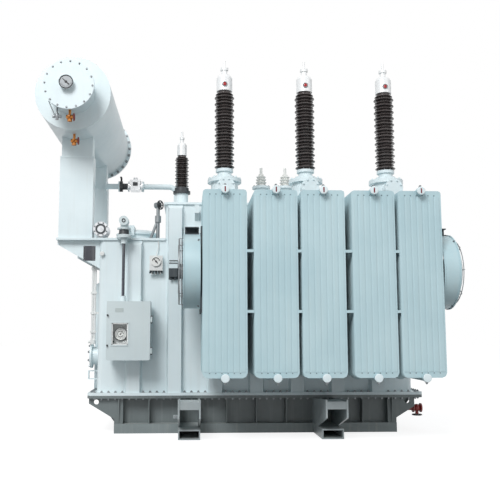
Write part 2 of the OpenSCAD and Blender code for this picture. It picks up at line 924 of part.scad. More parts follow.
// Metal ends of the high-voltage and neutral insulators
module bushing_terminals() {
    color(pale) {
        for (x = hv_xs) {
            terminal(x, hv_y, hv_porcelain_z + hv_porcelain_l, hv_cap_r, hv_cap_l);
        }
        neutral_top_z = neutral_porcelain_z + neutral_porcelain_l;
        terminal(neutral_x, neutral_y, neutral_top_z, neutral_cap_r, neutral_cap_l);
    }
}

// Short turret of the neutral bushing
module neutral_turret() {
    foot_t = 22;
    neck_h = 52;
    color(dark) translate([neutral_x, neutral_y, 0]) union() {
        rod_z(0, 0, cover_z, neutral_porcelain_z - neck_h, neutral_r);
        rod_z(0, 0, cover_z, cover_z + foot_t, neutral_flange_r);
        rod_z(0, 0, neutral_porcelain_z - neck_h - 32, neutral_porcelain_z - neck_h + 2, neutral_flange_r);
        rod_z(0, 0, neutral_porcelain_z - neck_h, neutral_porcelain_z, neutral_r - 10);
    }
}

// Insulator of the neutral bushing
module neutral_insulator() {
    color(porcelain) translate([neutral_x, neutral_y, neutral_porcelain_z])
        shed_porcelain(neutral_porcelain_l, 8, 58, 97, 86);
}

// Turrets of the low-voltage bushings
module lv_turrets() {
    foot_t = 22;
    top_t = 34;
    color(paint) for (x = lv_xs) {
        union() {
            rod_z(x, lv_y, cover_z, lv_flange_z - 10, lv_r);
            rod_z(x, lv_y, cover_z, cover_z + foot_t, lv_flange_r);
            rod_z(x, lv_y, lv_flange_z - top_t, lv_flange_z, lv_flange_r);
        }
    }
}

// Outline of a low-voltage insulator with its stud
lv_stud_r = 22;
lv_outline = [[0, 0], [78, 0], [78, 30], [60, 40], [84, 62], [84, 70], [56, 84], [80, 106], [80, 114],
              [54, 128], [74, 150], [74, 158], [40, 176], [40, 196], [lv_stud_r, 200], [lv_stud_r, 300],
              [0, 300]];

// Low-voltage insulators with their studs
module lv_insulators() {
    color(pale) for (x = lv_xs) {
        translate([x, lv_y, lv_flange_z]) rotate_extrude() polygon(lv_outline);
    }
}

// Spacing of the flutes across a panel
flute_pitch = (panel_w - 24) / flute_n;

// Points across one flute: flat-topped on the outer panels, ridged on the inner ones
function flute(c, outer) = outer
    ? [[c - 0.44 * flute_pitch, seam_t / 2], [c - 0.3 * flute_pitch, panel_t / 2],
       [c + 0.3 * flute_pitch, panel_t / 2], [c + 0.44 * flute_pitch, seam_t / 2]]
    : [[c, panel_t / 2], [c + 0.5 * flute_pitch, seam_t / 2]];

// Outline of a fluted panel seen from above
module panel_outline(outer) {
    half = panel_w / 2;
    web = seam_t / 2;
    centres = [for (i = [0:flute_n - 1]) (i - (flute_n - 1) / 2) * flute_pitch];
    start = outer ? [[-half, web]] : [[-half, web], [centres[0] - 0.5 * flute_pitch, web]];
    back = concat(start, [for (c = centres) each flute(c, outer)], [[half, web]]);
    front = [for (i = [len(back) - 1:-1:0]) [back[i][0], -back[i][1]]];
    polygon(concat(back, front));
}

// Flat end of a panel with cut corners
module panel_end(cut, h) {
    half = panel_w / 2;
    side = [[half - cut, h], [half - cut * 0.3, h - cut * 0.3], [half, h - cut], [half, 0]];
    other = [for (i = [3:-1:0]) [-side[i][0], side[i][1]]];
    translate([0, seam_t / 2, 0]) rotate([90, 0, 0]) linear_extrude(seam_t) polygon(concat(side, other));
}

// One pressed panel with its flutes
module radiator_panel(outer) {
    translate([0, 0, flute_margin]) linear_extrude(panel_h - 2 * flute_margin) panel_outline(outer);
    translate([0, 0, panel_h - flute_margin]) panel_end(34, flute_margin);
    translate([0, 0, flute_margin]) mirror([0, 0, 1]) panel_end(58, flute_margin);
}

// How far a header reaches past the rear panel
header_past = 40;

// Header pipe with its front cap and rear flange
module radiator_header(z) {
    end = -panel_back + header_past;
    rod_y(0, -radiator_front - 30, end, z, header_r);
    rod_y(0, -radiator_front - cap_out, -radiator_front - 20, z, cap_r);
    rod_y(0, end - pipe_flange_t, end, z, header_r + pipe_flange_out);
}

// Radiator made of fluted panels on two headers
module radiator(i) {
    color(paint) translate([radiator_xs[i], 0, 0]) union() {
        for (k = [0:panel_n - 1]) {
            translate([0, -radiator_front + panel_t / 2 + k * panel_pitch, panel_z])
                radiator_panel(k == 0 || k == panel_n - 1);
        }
        radiator_header(header_low_z);
        radiator_header(header_high_z);
    }
}

module front_radiator(i) {
    radiator(i);
}

module rear_radiator(i) {
    mirror([0, 1, 0]) radiator(i);
}

// Valve and pipe between a radiator header and the tank wall
module radiator_stub(x, z) {
    start = -panel_back + header_past;
    spindle_h = 62;
    difference() {
        union() {
            rod_y(x, start, -half_w, z, header_r);
            rod_y(x, start, start + stub_valve_l, z, header_r + pipe_flange_out);
            rod_z(x, start + stub_valve_l / 2, z, z + header_r + spindle_h, 12);
        }
        for (i = [-1:3]) {
            wall_stiffener(i * stiff_pitch, header_high_z - behind_header_drop);
        }
    }
}

// All pipes between the radiators and the tank
module radiator_stubs() {
    color(paint) both_sides() for (x = radiator_xs, z = [header_low_z, header_high_z]) {
        radiator_stub(x, z);
    }
}

// Flat ties between neighbouring radiators
module radiator_ties() {
    half = panel_w / 2;
    color(paint) both_sides() for (i = [0:3], z = tie_zs) {
        block([radiator_xs[i] + half, -radiator_front, z - tie_h / 2],
              [radiator_xs[i + 1] - half, -radiator_front + tie_d, z + tie_h / 2]);
    }
}

// Round cowl of a fan, from its outer rim at x0 towards the radiators
module fan_cowl(x0) {
    difference() {
        union() {
            rod_x(x0, x0 + fan_l, -fan_y, fan_z, fan_r);
            rod_x(x0, x0 + rim_t, -fan_y, fan_z, fan_r + rim_out);
            rod_x(x0 + fan_l - rim_t, x0 + fan_l, -fan_y, fan_z, fan_r + rim_out);
        }
        rod_x(x0 - 1, x0 + fan_l + 1, -fan_y, fan_z, fan_r - cowl_t);
    }
}

// Four cowls, one at each end of both radiator rows
module fan_cowls() {
    color(paint) both_sides() {
        fan_cowl(fan_left_x);
        fan_cowl(row_right_x + fan_gap);
    }
}

// Bent wire from the guard's hub to the cowl's rim
module guard_bar() {
    w = guard_wire;
    rim = fan_r + rim_out - 5;
    start = guard_hub_r - 2 * w;
    outline = [[start, guard_out - w], [guard_r - 1.6 * w, guard_out - w], [guard_r - w, guard_out - 2 * w],
               [guard_r - w, 0], [rim, 0], [rim, w], [guard_r, w], [guard_r, guard_out - w],
               [guard_r - w, guard_out], [start, guard_out]];
    rotate([90, 0, 0]) translate([0, 0, -w / 2]) linear_extrude(w) polygon(outline);
}

// Ring of square wire about the Z axis, from z upwards
module square_ring(r, z) {
    w = guard_wire;
    translate([0, 0, z]) difference() {
        cylinder(h = w, r = r);
        translate([0, 0, -1]) cylinder(h = w + 2, r = r - w);
    }
}

// Basket of rings and bent wires, standing up from its rim
module guard_basket() {
    rings = [0.22, 0.4, 0.58, 0.76];
    lap = 3;
    top = guard_out - guard_wire;
    union() {
        cylinder(h = top - lap, r = motor_r);
        cylinder(h = guard_out - lap, r = guard_hub_r);
        for (f = rings) {
            square_ring(motor_r + f * (guard_r - motor_r), top - lap);
        }
        square_ring(guard_r - lap, top - guard_wire - lap);
        square_ring(guard_r - lap, guard_stand);
        for (a = [0:45:315]) {
            rotate([0, 0, a]) guard_bar();
        }
    }
}

// Guards of the four fans
module fan_guards() {
    color(pale) both_sides() {
        translate([fan_left_x, -fan_y, fan_z]) rotate([0, -90, 0]) guard_basket();
        translate([fan_right_x, -fan_y, fan_z]) rotate([0, 90, 0]) guard_basket();
    }
}

// Motor on the guard's hub with its pitched blades
blade_hub_l = 60;
blade_t = 10;
blade_w = 170;
blade_angle = 32;
blade_l = fan_r - cowl_t - 100;
module fan_impeller(x) {
    union() {
        rod_x(x, x + motor_l, -fan_y, fan_z, motor_r);
        rod_x(x + motor_l - 2, x + motor_l + blade_hub_l, -fan_y, fan_z, motor_r - 15);
        for (a = [0:360 / blade_n:359]) {
            translate([x + motor_l + blade_hub_l / 2, -fan_y, fan_z]) rotate([a, 0, 0])
                translate([0, 0, motor_r - 25]) rotate([0, 0, blade_angle])
                    translate([-blade_t / 2, -blade_w / 2, 0]) cube([blade_t, blade_w, blade_l]);
        }
    }
}

// Motors and blades of the four fans
module fan_impellers() {
    color(dark) both_sides() {
        fan_impeller(fan_left_x);
        translate([fan_right_x, 0, 0]) mirror([1, 0, 0]) fan_impeller(0);
    }
}

// Upright bars that hold a cowl to the edges of the radiator panels
module fan_mount(x) {
    reach = fan_r + mount_past;
    for (s = [-1, 1]) {
        y = -fan_y + s * mount_spread;
        block([x, y - mount_w / 2, fan_z - reach], [x + fan_gap, y + mount_w / 2, fan_z + reach]);
    }
}

// Channel on top of a cowl that starts at x, open to the front
module fan_channel(x) {
    low = fan_z + fan_r - 20;
    top = fan_z + fan_r + channel_h;
    half = channel_d / 2;
    x0 = x + rim_t + 2;
    x1 = x + fan_l - rim_t - 2;
    difference() {
        block([x0, -fan_y - half, low], [x1, -fan_y + half, top]);
        block([x0 - 1, -fan_y - half - 1, fan_z + fan_r + channel_t],
              [x1 + 1, -fan_y + half - channel_t, top - channel_t]);
        translate([x0 - 1, -fan_y, fan_z]) rotate([0, 90, 0])
            cylinder(h = x1 - x0 + 2, r = fan_r + curve_gap);
    }
}

// Bars behind the four cowls and the channels on top of them
module fan_mounts() {
    color(paint) both_sides() {
        fan_mount(row_left_x - fan_gap);
        fan_mount(row_right_x);
        fan_channel(fan_left_x);
        fan_channel(fan_right_x - fan_l);
    }
}

// Fixed leaf of a hinge: two eyes, the pin and the plate on the cabinet's side
module hinge_leaf(z) {
    union() {
        for (z0 = [z - 36, z + 21]) {
            rod_z(hinge_x, hinge_y, z0, z0 + 15, 12);
            block([hinge_x - 6, hinge_y, z0], [hinge_x + 6, cab_front_y + 60, z0 + 15]);
        }
        block([cab_right - 1, cab_front_y + 8, z - 36], [hinge_x + 6, cab_front_y + 60, z + 36]);
        rod_z(hinge_x, hinge_y, z - 30, z + 30, 6);
    }
}

// Front outline of the cabinet, drawn in by inset, with its lower corners rounded
function cab_outline(inset) =
    let (x0 = cab_x + inset, x1 = cab_right - inset, z0 = cab_z + inset, z1 = cab_z + cab_h - inset)
    let (r = cab_corner_r - inset)
    concat([[x1, z1], [x0, z1]],
           [for (a = [180:15:270]) [x0 + r + r * cos(a), z0 + r + r * sin(a)]],
           [for (a = [270:15:360]) [x1 - r + r * cos(a), z0 + r + r * sin(a)]]);

// Open box of the drive cabinet with the fixed hinge leaves
module drive_cabinet() {
    color(shade) union() {
        difference() {
            side_plate(cab_outline(0), cab_front_y, cab_back_y);
            side_plate(cab_outline(cab_t), cab_front_y - 1, cab_back_y - cab_t);
        }
        for (z = hinge_zs) {
            hinge_leaf(z);
        }
    }
}

// Door with its window hole and the moving hinge eyes
module cabinet_door() {
    color(shade) difference() {
        union() {
            side_plate(cab_outline(0), door_front_y, door_back_y);
            block([window_x0 - 14, door_front_y - 6, window_z0 - 14],
                  [window_x1 + 14, door_front_y + 1, window_z1 + 14]);
            for (z = hinge_zs) {
                rod_z(hinge_x, hinge_y, z - 20, z + 20, 12);
                block([cab_right - 1, hinge_y - 7, z - 20], [hinge_x, hinge_y + 7, z + 20]);
            }
        }
        block([window_x0, door_front_y - 10, window_z0], [window_x1, door_back_y + 10, window_z1]);
        for (z = hinge_zs) {
            rod_z(hinge_x, hinge_y, z - 21, z + 21, 6 + pin_gap);
        }
    }
}

// Pane in the door
module cabinet_window() {
    color(glass) block([window_x0, door_front_y + 6, window_z0], [window_x1, door_front_y + 12, window_z1]);
}

// Gear case with the position dial behind the window
module position_indicator() {
    back = cab_back_y - cab_t;
    xm = (window_x0 + window_x1) / 2;
    zm = (window_z0 + window_z1) / 2;
    color(pale) union() {
        block([window_x0 - 20, cab_front_y + 70, window_z0 - 30], [window_x1 + 10, back, window_z1 + 20]);
        rod_y(xm, cab_front_y + 56, cab_front_y + 71, zm, 82);
    }
}

// Upright shaft from the cabinet to the gearbox, with a coupling at each end
module drive_shaft() {
    top = deck_wall_z;
    low = cab_z + cab_h;
    color(pale) union() {
        rod_z(shaft_x, shaft_y, low, top, shaft_r);
        rod_z(shaft_x, shaft_y, low, low + coupling_l, coupling_r);
        rod_z(shaft_x, shaft_y, top - coupling_l, top, coupling_r);
    }
}

// Bevel gearbox on a bracket at the deck's edge, with the shaft to the tap changer head
module bevel_gearbox() {
    edge = -half_w - cover_out;
    shelf_t = 22;
    body = [[0, 0], [92, 0], [92, 28], [66, 46], [58, 104], [88, 112], [88, 132], [46, 142], [46, gear_rise],
            [0, gear_rise]];
    color(shade) union() {
        translate([shaft_x, shaft_y, deck_wall_z]) rotate_extrude() polygon(body);
        rod_y(shaft_x, shaft_y - 80, shaft_y + 80, gear_z, gear_eye_r);
        rod_y(shaft_x, shaft_y + 70, head_box_y, gear_z, cross_shaft_r);
        block([shaft_x - gear_shelf_half, shaft_y - 20, deck_wall_z],
              [shaft_x + gear_shelf_half, edge, deck_wall_z + shelf_t]);
    }
}

// Round head of the tap changer on the deck, with the box that takes the level shaft
module tap_changer_head() {
    lid = head_r - 60;
    box_z0 = gear_z - head_box_half;
    outline = [[0, 0], [head_r, 0], [head_r, 40], [lid, 40], [lid, 150], [lid + 30, 150], [lid + 30, 176],
               [lid - 40, head_h - 15], [0, head_h]];
    color(paint) union() {
        translate([head_x, 0, deck_z]) rotate_extrude() polygon(outline);
        block([shaft_x - head_box_half, head_box_y, box_z0],
              [shaft_x + head_box_half, 0, gear_z + head_box_half]);
    }
}

// Round-flanged valve on the deck beside the front pillar
module deck_valve() {
    x = deck_valve_x;
    z = deck_valve_z;
    front = -deck_valve_front;
    back = front + deck_valve_l;
    stand_y = (front + back) / 2;
    flange_l = 18;
    color(pale) union() {
        rod_z(x, stand_y, deck_z, z, 44);
        rod_z(x, stand_y, deck_z, deck_z + 16, 80);
        rod_y(x, front, back, z, deck_valve_r);
        rod_y(x, front, front + flange_l, z, deck_valve_flange_r);
        rod_y(x, back - flange_l, back, z, deck_valve_flange_r);
    }
}

// Turns a piece to face the way of the filter valve's wheel
module filter_head() {
    translate([filter_x, filter_y, filter_z]) rotate([0, 0, filter_turn]) children();
}

// Filter valve that stands on the deck beside the step, with its slanting pipe
module filter_valve() {
    fork_z = deck_z + 0.6 * (filter_z - deck_z);
    fork_half = 45;
    slant = 20;
    slant_l = (fork_z - deck_z) / cos(slant) + 30;
    past = 400;
    color(pale) difference() {
        union() {
            rod_z(filter_x, filter_y, deck_z, filter_z, filter_pipe_r);
            rod_z(filter_x, filter_y, deck_z, deck_z + 14, 2.2 * filter_pipe_r);
            rod_z(filter_x, filter_y, fork_z - fork_half, fork_z + fork_half, filter_body_r);
            filter_head() rod_y(0, -filter_face, filter_body_r, 0, filter_body_r);
            translate([filter_x, filter_y, fork_z]) rotate([0, 180 + slant, 0])
                cylinder(h = slant_l, r = 0.8 * filter_pipe_r);
        }
        block([filter_x - past, filter_y - past, deck_z - past], [filter_x + past, filter_y + past, deck_z]);
    }
}

// Handwheel about the Z axis, with its hub from 0 to hub_l
module handwheel(r, hub_l) {
    union() {
        cylinder(h = hub_l, r = 0.24 * r);
        translate([0, 0, hub_l / 2]) wire_ring(r, 2 * wheel_wire);
        for (a = [0, 60, 120]) {
            translate([0, 0, hub_l / 2]) rotate([0, 0, a])
                cube([2 * r - 2 * wheel_wire, 10, 8], center = true);
        }
    }
}

// Handwheels of the filter valve and of the drain valve
module valve_wheels() {
    hub_l = 24;
    color(dark) {
        filter_head() translate([0, -filter_face, 0]) rotate([90, 0, 0]) handwheel(filter_wheel_r, hub_l);
        translate([drain_x, drain_y, drain_stem_z - hub_l]) handwheel(drain_wheel_r, hub_l);
    }
}

// Dial thermometer on the tank wall
module oil_thermometer() {
    x = thermometer_x;
    z = thermometer_z;
    half = thermometer_half;
    depth = 92;
    color(pale) union() {
        block([x - half, -half_w - depth, z - 100], [x + half, -half_w, z + 100]);
        rod_y(x, -half_w - depth - 18, -half_w - depth + 2, z + 20, 66);
        for (dx = [-52, 0, 52]) {
            rod_z(x + dx, -half_w - depth / 2, z - 150, z - 99, 14);
        }
    }
}

// Small junction box with two clamps on the second stiffener
module junction_box() {
    half = junction_w / 2;
    x = junction_x;
    z = junction_z;
    face = -stiff_y;
    color(dark) union() {
        block([x - half, face - 6, z - 30], [x + half, face, z + junction_plate_h]);
        block([x - half + 8, face - 72, z], [x + half - 8, face - 5, z + junction_case_h]);
        for (dz = clamp_rises) {
            block([x - half, face - 44, z + dz], [x + half, face - 5, z + dz + 20]);
        }
        rod_z(x - 0.5 * half, face - 38, z - 38, z + 1, 16);
        rod_z(x + 0.4 * half, face - 38, z - 38, z + 1, 16);
    }
}

// Air breather on the tank end: two tubes held by collars, with a cock below
module breather() {
    z0 = breather_z0;
    collar_half = 38;
    collar_h = 30;
    color(pale) union() {
        for (s = [-1, 1]) {
            rod_z(breather_x + s * (breather_tube_r + 1), breather_y, z0, z0 + breather_l, breather_tube_r);
        }
        for (f = [0.11, 0.34, 0.59, 0.89]) {
            z = z0 + f * breather_l;
            block([breather_x - collar_half, breather_y - 24, z],
                  [breather_x + collar_half, breather_y + 24, z + collar_h]);
        }
        for (f = [0.34, 0.89]) {
            z = z0 + f * breather_l;
            block([breather_x, breather_y - 12, z], [-half_l, breather_y + 12, z + collar_h]);
        }
        rod_z(breather_x, breather_y, z0 - 30, z0 + 26, 36);
        rod_x(breather_x - 62, breather_x, breather_y, z0, 16);
    }
}

// Flanged valve low on the tank end, with the small frame under it
module side_valve() {
    y = side_valve_y;
    z = side_valve_z;
    reach = half_l + side_valve_l;
    frame_l = 150;
    frame_h = 120;
    frame_z = z - side_valve_flange_r - 30 - frame_h;
    color(paint) {
        union() {
            rod_x(-reach, -half_l, y, z, side_valve_r);
            rod_x(-reach - 24, -reach + 1, y, z, side_valve_flange_r);
        }
        difference() {
            block([-half_l - frame_l, y - 30, frame_z], [-half_l, y + 30, frame_z + frame_h]);
            block([-half_l - frame_l + 14, y - 31, frame_z + 14],
                  [-half_l - 14, y + 31, frame_z + frame_h - 14]);
        }
    }
}

// Drain valve on the sloping end of the tray
tray_slope = (half_l - rail_l / 2) / (lower_flange_z - rail_h);
drain_wall_x = rail_l / 2 + tray_slope * (drain_z - rail_h);
drain_x = drain_wall_x + drain_out;
drain_stem_z = drain_z - drain_flange_r - 20;
module drain_valve() {
    start = drain_wall_x - abs(tray_slope) * drain_r - 10;
    half = 60;
    color(red) difference() {
        union() {
            rod_x(start, drain_x + half, drain_y, drain_z, drain_r);
            rod_x(drain_x - half, drain_x - half + 18, drain_y, drain_z, drain_flange_r);
            rod_x(drain_x + half - 18, drain_x + half, drain_y, drain_z, drain_flange_r);
            translate([drain_x, drain_y, drain_z]) sphere(r = 50);
            rod_z(drain_x, drain_y, drain_stem_z, drain_z, 22);
        }
        side_plate(tray_outline, -tray_half_w, tray_half_w);
    }
}

// Moves a piece from the tank's middle to the frame
module placed() {
    translate([frame_x, 0, 0]) children();
}

placed() base_rails();
placed() skid_beams();
placed() jack_brackets();
placed() lower_tank();
placed() bell_flange();
placed() tank_bell();
placed() tank_stiffeners();
placed() tank_cover();
placed() tap_changer_deck();
placed() lifting_hooks();
placed() conservator_pillars();
placed() conservator_drum();
placed() conservator_rear_cover();
placed() tap_changer_chamber();
placed() chamber_cover();
placed() oil_level_gauge();
placed() conservator_valves();
placed() oil_pipes();
placed() pipe_valve();
placed() gas_relay();
placed() hv_turrets();
placed() hv_insulators();
placed() bushing_terminals();
placed() neutral_turret();
placed() neutral_insulator();
placed() lv_turrets();
placed() lv_insulators();
for (i = [0:4]) {
    placed() front_radiator(i);
    placed() rear_radiator(i);
}
placed() radiator_stubs();
placed() radiator_ties();
placed() fan_cowls();
placed() fan_guards();
placed() fan_impellers();
placed() fan_mounts();
placed() drive_cabinet();
placed() cabinet_door();
placed() cabinet_window();
placed() position_indicator();
placed() drive_shaft();
placed() bevel_gearbox();
placed() tap_changer_head();
placed() deck_valve();
placed() filter_valve();
placed() valve_wheels();
placed() junction_box();
placed() oil_thermometer();
placed() breather();
placed() side_valve();
placed() drain_valve();
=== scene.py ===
# %% [markdown]
# # Dressing a skid-mounted transformer
# The exact solids of the transformer come in as a fixed frame. This lesson gives them their finishes, adds
# the fasteners, dials, welds and small fittings that are too fine for the solids, and lights the result for
# one camera.

# %% Load the frame
import json
import math
import bmesh
import bpy
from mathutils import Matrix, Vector


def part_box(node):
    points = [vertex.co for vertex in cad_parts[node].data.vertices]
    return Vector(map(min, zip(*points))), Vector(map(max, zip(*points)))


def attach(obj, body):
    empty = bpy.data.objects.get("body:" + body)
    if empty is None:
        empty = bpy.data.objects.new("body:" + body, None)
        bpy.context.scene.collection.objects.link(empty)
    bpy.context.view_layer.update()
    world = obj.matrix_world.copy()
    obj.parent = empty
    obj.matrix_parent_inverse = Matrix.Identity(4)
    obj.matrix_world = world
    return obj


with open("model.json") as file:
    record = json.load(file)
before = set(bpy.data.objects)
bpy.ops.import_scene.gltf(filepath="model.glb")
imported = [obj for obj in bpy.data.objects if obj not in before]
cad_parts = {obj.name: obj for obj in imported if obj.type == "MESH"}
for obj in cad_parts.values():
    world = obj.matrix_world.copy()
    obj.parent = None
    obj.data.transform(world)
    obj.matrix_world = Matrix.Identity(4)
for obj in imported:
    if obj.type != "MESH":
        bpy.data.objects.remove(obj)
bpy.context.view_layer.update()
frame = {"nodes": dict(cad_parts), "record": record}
flange_low, flange_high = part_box("bell_flange")
tank_middle = (flange_low.x + flange_high.x) / 2


def at(x, y, z):
    """A point measured from the middle of the tank, in the shared frame."""
    return Vector((x + tank_middle, y, z))


FRONT = Vector((0, -1, 0))
BACK = Vector((0, 1, 0))
LEFT = Vector((-1, 0, 0))
RIGHT = Vector((1, 0, 0))
UP = Vector((0, 0, 1))
DOWN = Vector((0, 0, -1))
SIDES = ((-1, FRONT), (1, BACK))
print("frame of", len(frame["nodes"]), "nodes, tank middle at X", round(tank_middle, 4))

# %% [markdown]
# ## A coat that has stood outdoors
# Every painted or glazed surface of the transformer shows the same three things: slow changes of tone, faint
# streaks where rain runs down, and dust on what faces up. On the brown glaze that light colour on upward
# faces is also painted light: it stands for the highlights along the shed tops. They could be painted by hand
# in a picture, but a picture stretches on a part of this size. So one shader group works them out from the
# place of each point, and every finish sets its own colours and amounts.

# %% Shader helpers and the weathered coat group


def linear(red, green, blue):
    """A colour given as screen values from 0 to 255, for a shader socket."""
    def step(value):
        share = value / 255
        return share / 12.92 if share <= 0.04045 else ((share + 0.055) / 1.055) ** 2.4
    return (step(red), step(green), step(blue), 1.0)


def noise(tree, vector, scale, detail):
    node = tree.nodes.new("ShaderNodeTexNoise")
    node.inputs["Scale"].default_value = scale
    node.inputs["Detail"].default_value = detail
    tree.links.new(vector, node.inputs["Vector"])
    return node.outputs["Fac"]


def spread(tree, value, low, high, to_low=0.0, to_high=1.0):
    node = tree.nodes.new("ShaderNodeMapRange")
    node.inputs["From Min"].default_value = low
    node.inputs["From Max"].default_value = high
    node.inputs["To Min"].default_value = to_low
    node.inputs["To Max"].default_value = to_high
    tree.links.new(value, node.inputs["Value"])
    return node.outputs["Result"]


def blend(tree, amount, first, second):
    node = tree.nodes.new("ShaderNodeMix")
    node.data_type = "RGBA"
    tree.links.new(amount, node.inputs["Factor"])
    tree.links.new(first, node.inputs["A"])
    tree.links.new(second, node.inputs["B"])
    return node.outputs["Result"]


def times(tree, first, second):
    node = tree.nodes.new("ShaderNodeMath")
    node.operation = "MULTIPLY"
    tree.links.new(first, node.inputs[0])
    tree.links.new(second, node.inputs[1])
    return node.outputs["Value"]


def stretched(tree, vector, scale):
    node = tree.nodes.new("ShaderNodeMapping")
    node.inputs["Scale"].default_value = scale
    tree.links.new(vector, node.inputs["Vector"])
    return node.outputs["Vector"]


def shader_group(name, inputs, outputs):
    group = bpy.data.node_groups.new(name, "ShaderNodeTree")
    for label, kind in inputs:
        group.interface.new_socket(name=label, in_out="INPUT", socket_type=kind)
    for label, kind in outputs:
        group.interface.new_socket(name=label, in_out="OUTPUT", socket_type=kind)
    return group, group.nodes.new("NodeGroupInput"), group.nodes.new("NodeGroupOutput")


COLOUR = "NodeSocketColor"
NUMBER = "NodeSocketFloat"


def weathered_coat_group():
    inputs = [("Coat", COLOUR), ("Faded coat", COLOUR), ("Dust", COLOUR), ("Dust and sheen amount", NUMBER),
              ("Streak amount", NUMBER), ("Smooth roughness", NUMBER), ("Dull roughness", NUMBER)]
    outputs = [("Colour", COLOUR), ("Roughness", NUMBER), ("Height", NUMBER)]
    group, given, result = shader_group("weathered coat", inputs, outputs)
    place = group.nodes.new("ShaderNodeTexCoord").outputs["Object"]
    surface = group.nodes.new("ShaderNodeNewGeometry")
    split = group.nodes.new("ShaderNodeSeparateXYZ")
    group.links.new(surface.outputs["Normal"], split.inputs["Vector"])
    patches = spread(group, noise(group, place, 1.6, 5), 0.35, 0.68)
    runs = noise(group, stretched(group, place, (9, 9, 0.45)), 2.2, 4)
    streaks = times(group, spread(group, runs, 0.52, 0.75), given.outputs["Streak amount"])
    # Upward faces take the dust colour: real dust, and on the brown glaze also a painted highlight on the
    # shed tops.
    upward = spread(group, split.outputs["Z"], 0.5, 1.0)
    settled_dust_and_sheen = times(group, times(group, upward, spread(group, noise(group, place, 6, 4), 0.25, 0.7)),
                    given.outputs["Dust and sheen amount"])
    toned = blend(group, patches, given.outputs["Coat"], given.outputs["Faded coat"])
    streaked = blend(group, streaks, toned, given.outputs["Dust"])
    dusty = blend(group, settled_dust_and_sheen, streaked, given.outputs["Dust"])
    group.links.new(dusty, result.inputs["Colour"])
    grain = noise(group, place, 140, 3)
    rough = group.nodes.new("ShaderNodeMix")
    group.links.new(spread(group, noise(group, place, 22, 4), 0.3, 0.7), rough.inputs["Factor"])
    group.links.new(given.outputs["Smooth roughness"], rough.inputs["A"])
    group.links.new(given.outputs["Dull roughness"], rough.inputs["B"])
    group.links.new(rough.outputs["Result"], result.inputs["Roughness"])
    group.links.new(grain, result.inputs["Height"])
    return group


WEATHERED = weathered_coat_group()
print("group", WEATHERED.name, "with", len(WEATHERED.nodes), "nodes")

# %% [markdown]
# ## Finishes
# The tank and conservator wear a pale blue-green enamel, and the radiators and fans a deeper tone of it.
# The base carries more dust and streaks than the tank. Its darker coats are painted shade: the base enamel
# and the darker tray enamel paint the shade under the flange and the radiators, and the grey of the skid
# beams and jack brackets partly does. The drive cabinet is greyer. The tall insulators are dark brown glazed
# porcelain. Each finish is one short call that places the weathered coat with its own values in front of a
# Principled shader.

# %% Make the finishes
# The dust colour is real dust, and on the brown glaze it also paints the highlights on the shed tops.
DUST_AND_SHEEN = linear(196, 198, 192)


def coated(name, coat, faded, dust_and_sheen=0.25, streaks=0.12, smooth=0.3, dull=0.45, bump=0.08, metal=0.0,
           gloss=0.5):
    """A finish that wears the weathered coat in its own colours and amounts."""
    made = bpy.data.materials.new(name)
    made.use_nodes = True
    nodes = made.node_tree.nodes
    link = made.node_tree.links.new
    shader = nodes["Principled BSDF"]
    group = nodes.new("ShaderNodeGroup")
    group.node_tree = WEATHERED
    group.inputs["Coat"].default_value = coat
    group.inputs["Faded coat"].default_value = faded
    group.inputs["Dust"].default_value = DUST_AND_SHEEN
    group.inputs["Dust and sheen amount"].default_value = dust_and_sheen
    group.inputs["Streak amount"].default_value = streaks
    group.inputs["Smooth roughness"].default_value = smooth
    group.inputs["Dull roughness"].default_value = dull
    relief = nodes.new("ShaderNodeBump")
    relief.inputs["Strength"].default_value = bump
    relief.inputs["Distance"].default_value = 0.002
    link(group.outputs["Colour"], shader.inputs["Base Color"])
    link(group.outputs["Roughness"], shader.inputs["Roughness"])
    link(group.outputs["Height"], relief.inputs["Height"])
    link(relief.outputs["Normal"], shader.inputs["Normal"])
    shader.inputs["Metallic"].default_value = metal
    shader.inputs["Specular IOR Level"].default_value = gloss
    return made


def clear_pane(name, tint, roughness):
    """A thin clear pane with faint smears."""
    made = bpy.data.materials.new(name)
    made.use_nodes = True
    nodes = made.node_tree.nodes
    link = made.node_tree.links.new
    shader = nodes["Principled BSDF"]
    place = nodes.new("ShaderNodeTexCoord").outputs["Object"]
    smear = spread(made.node_tree, noise(made.node_tree, place, 14, 4), 0.4, 0.7, roughness, roughness + 0.08)
    link(smear, shader.inputs["Roughness"])
    shader.inputs["Base Color"].default_value = tint
    shader.inputs["Transmission Weight"].default_value = 1.0
    shader.inputs["IOR"].default_value = 1.1
    shader.inputs["Alpha"].default_value = 0.12
    return made


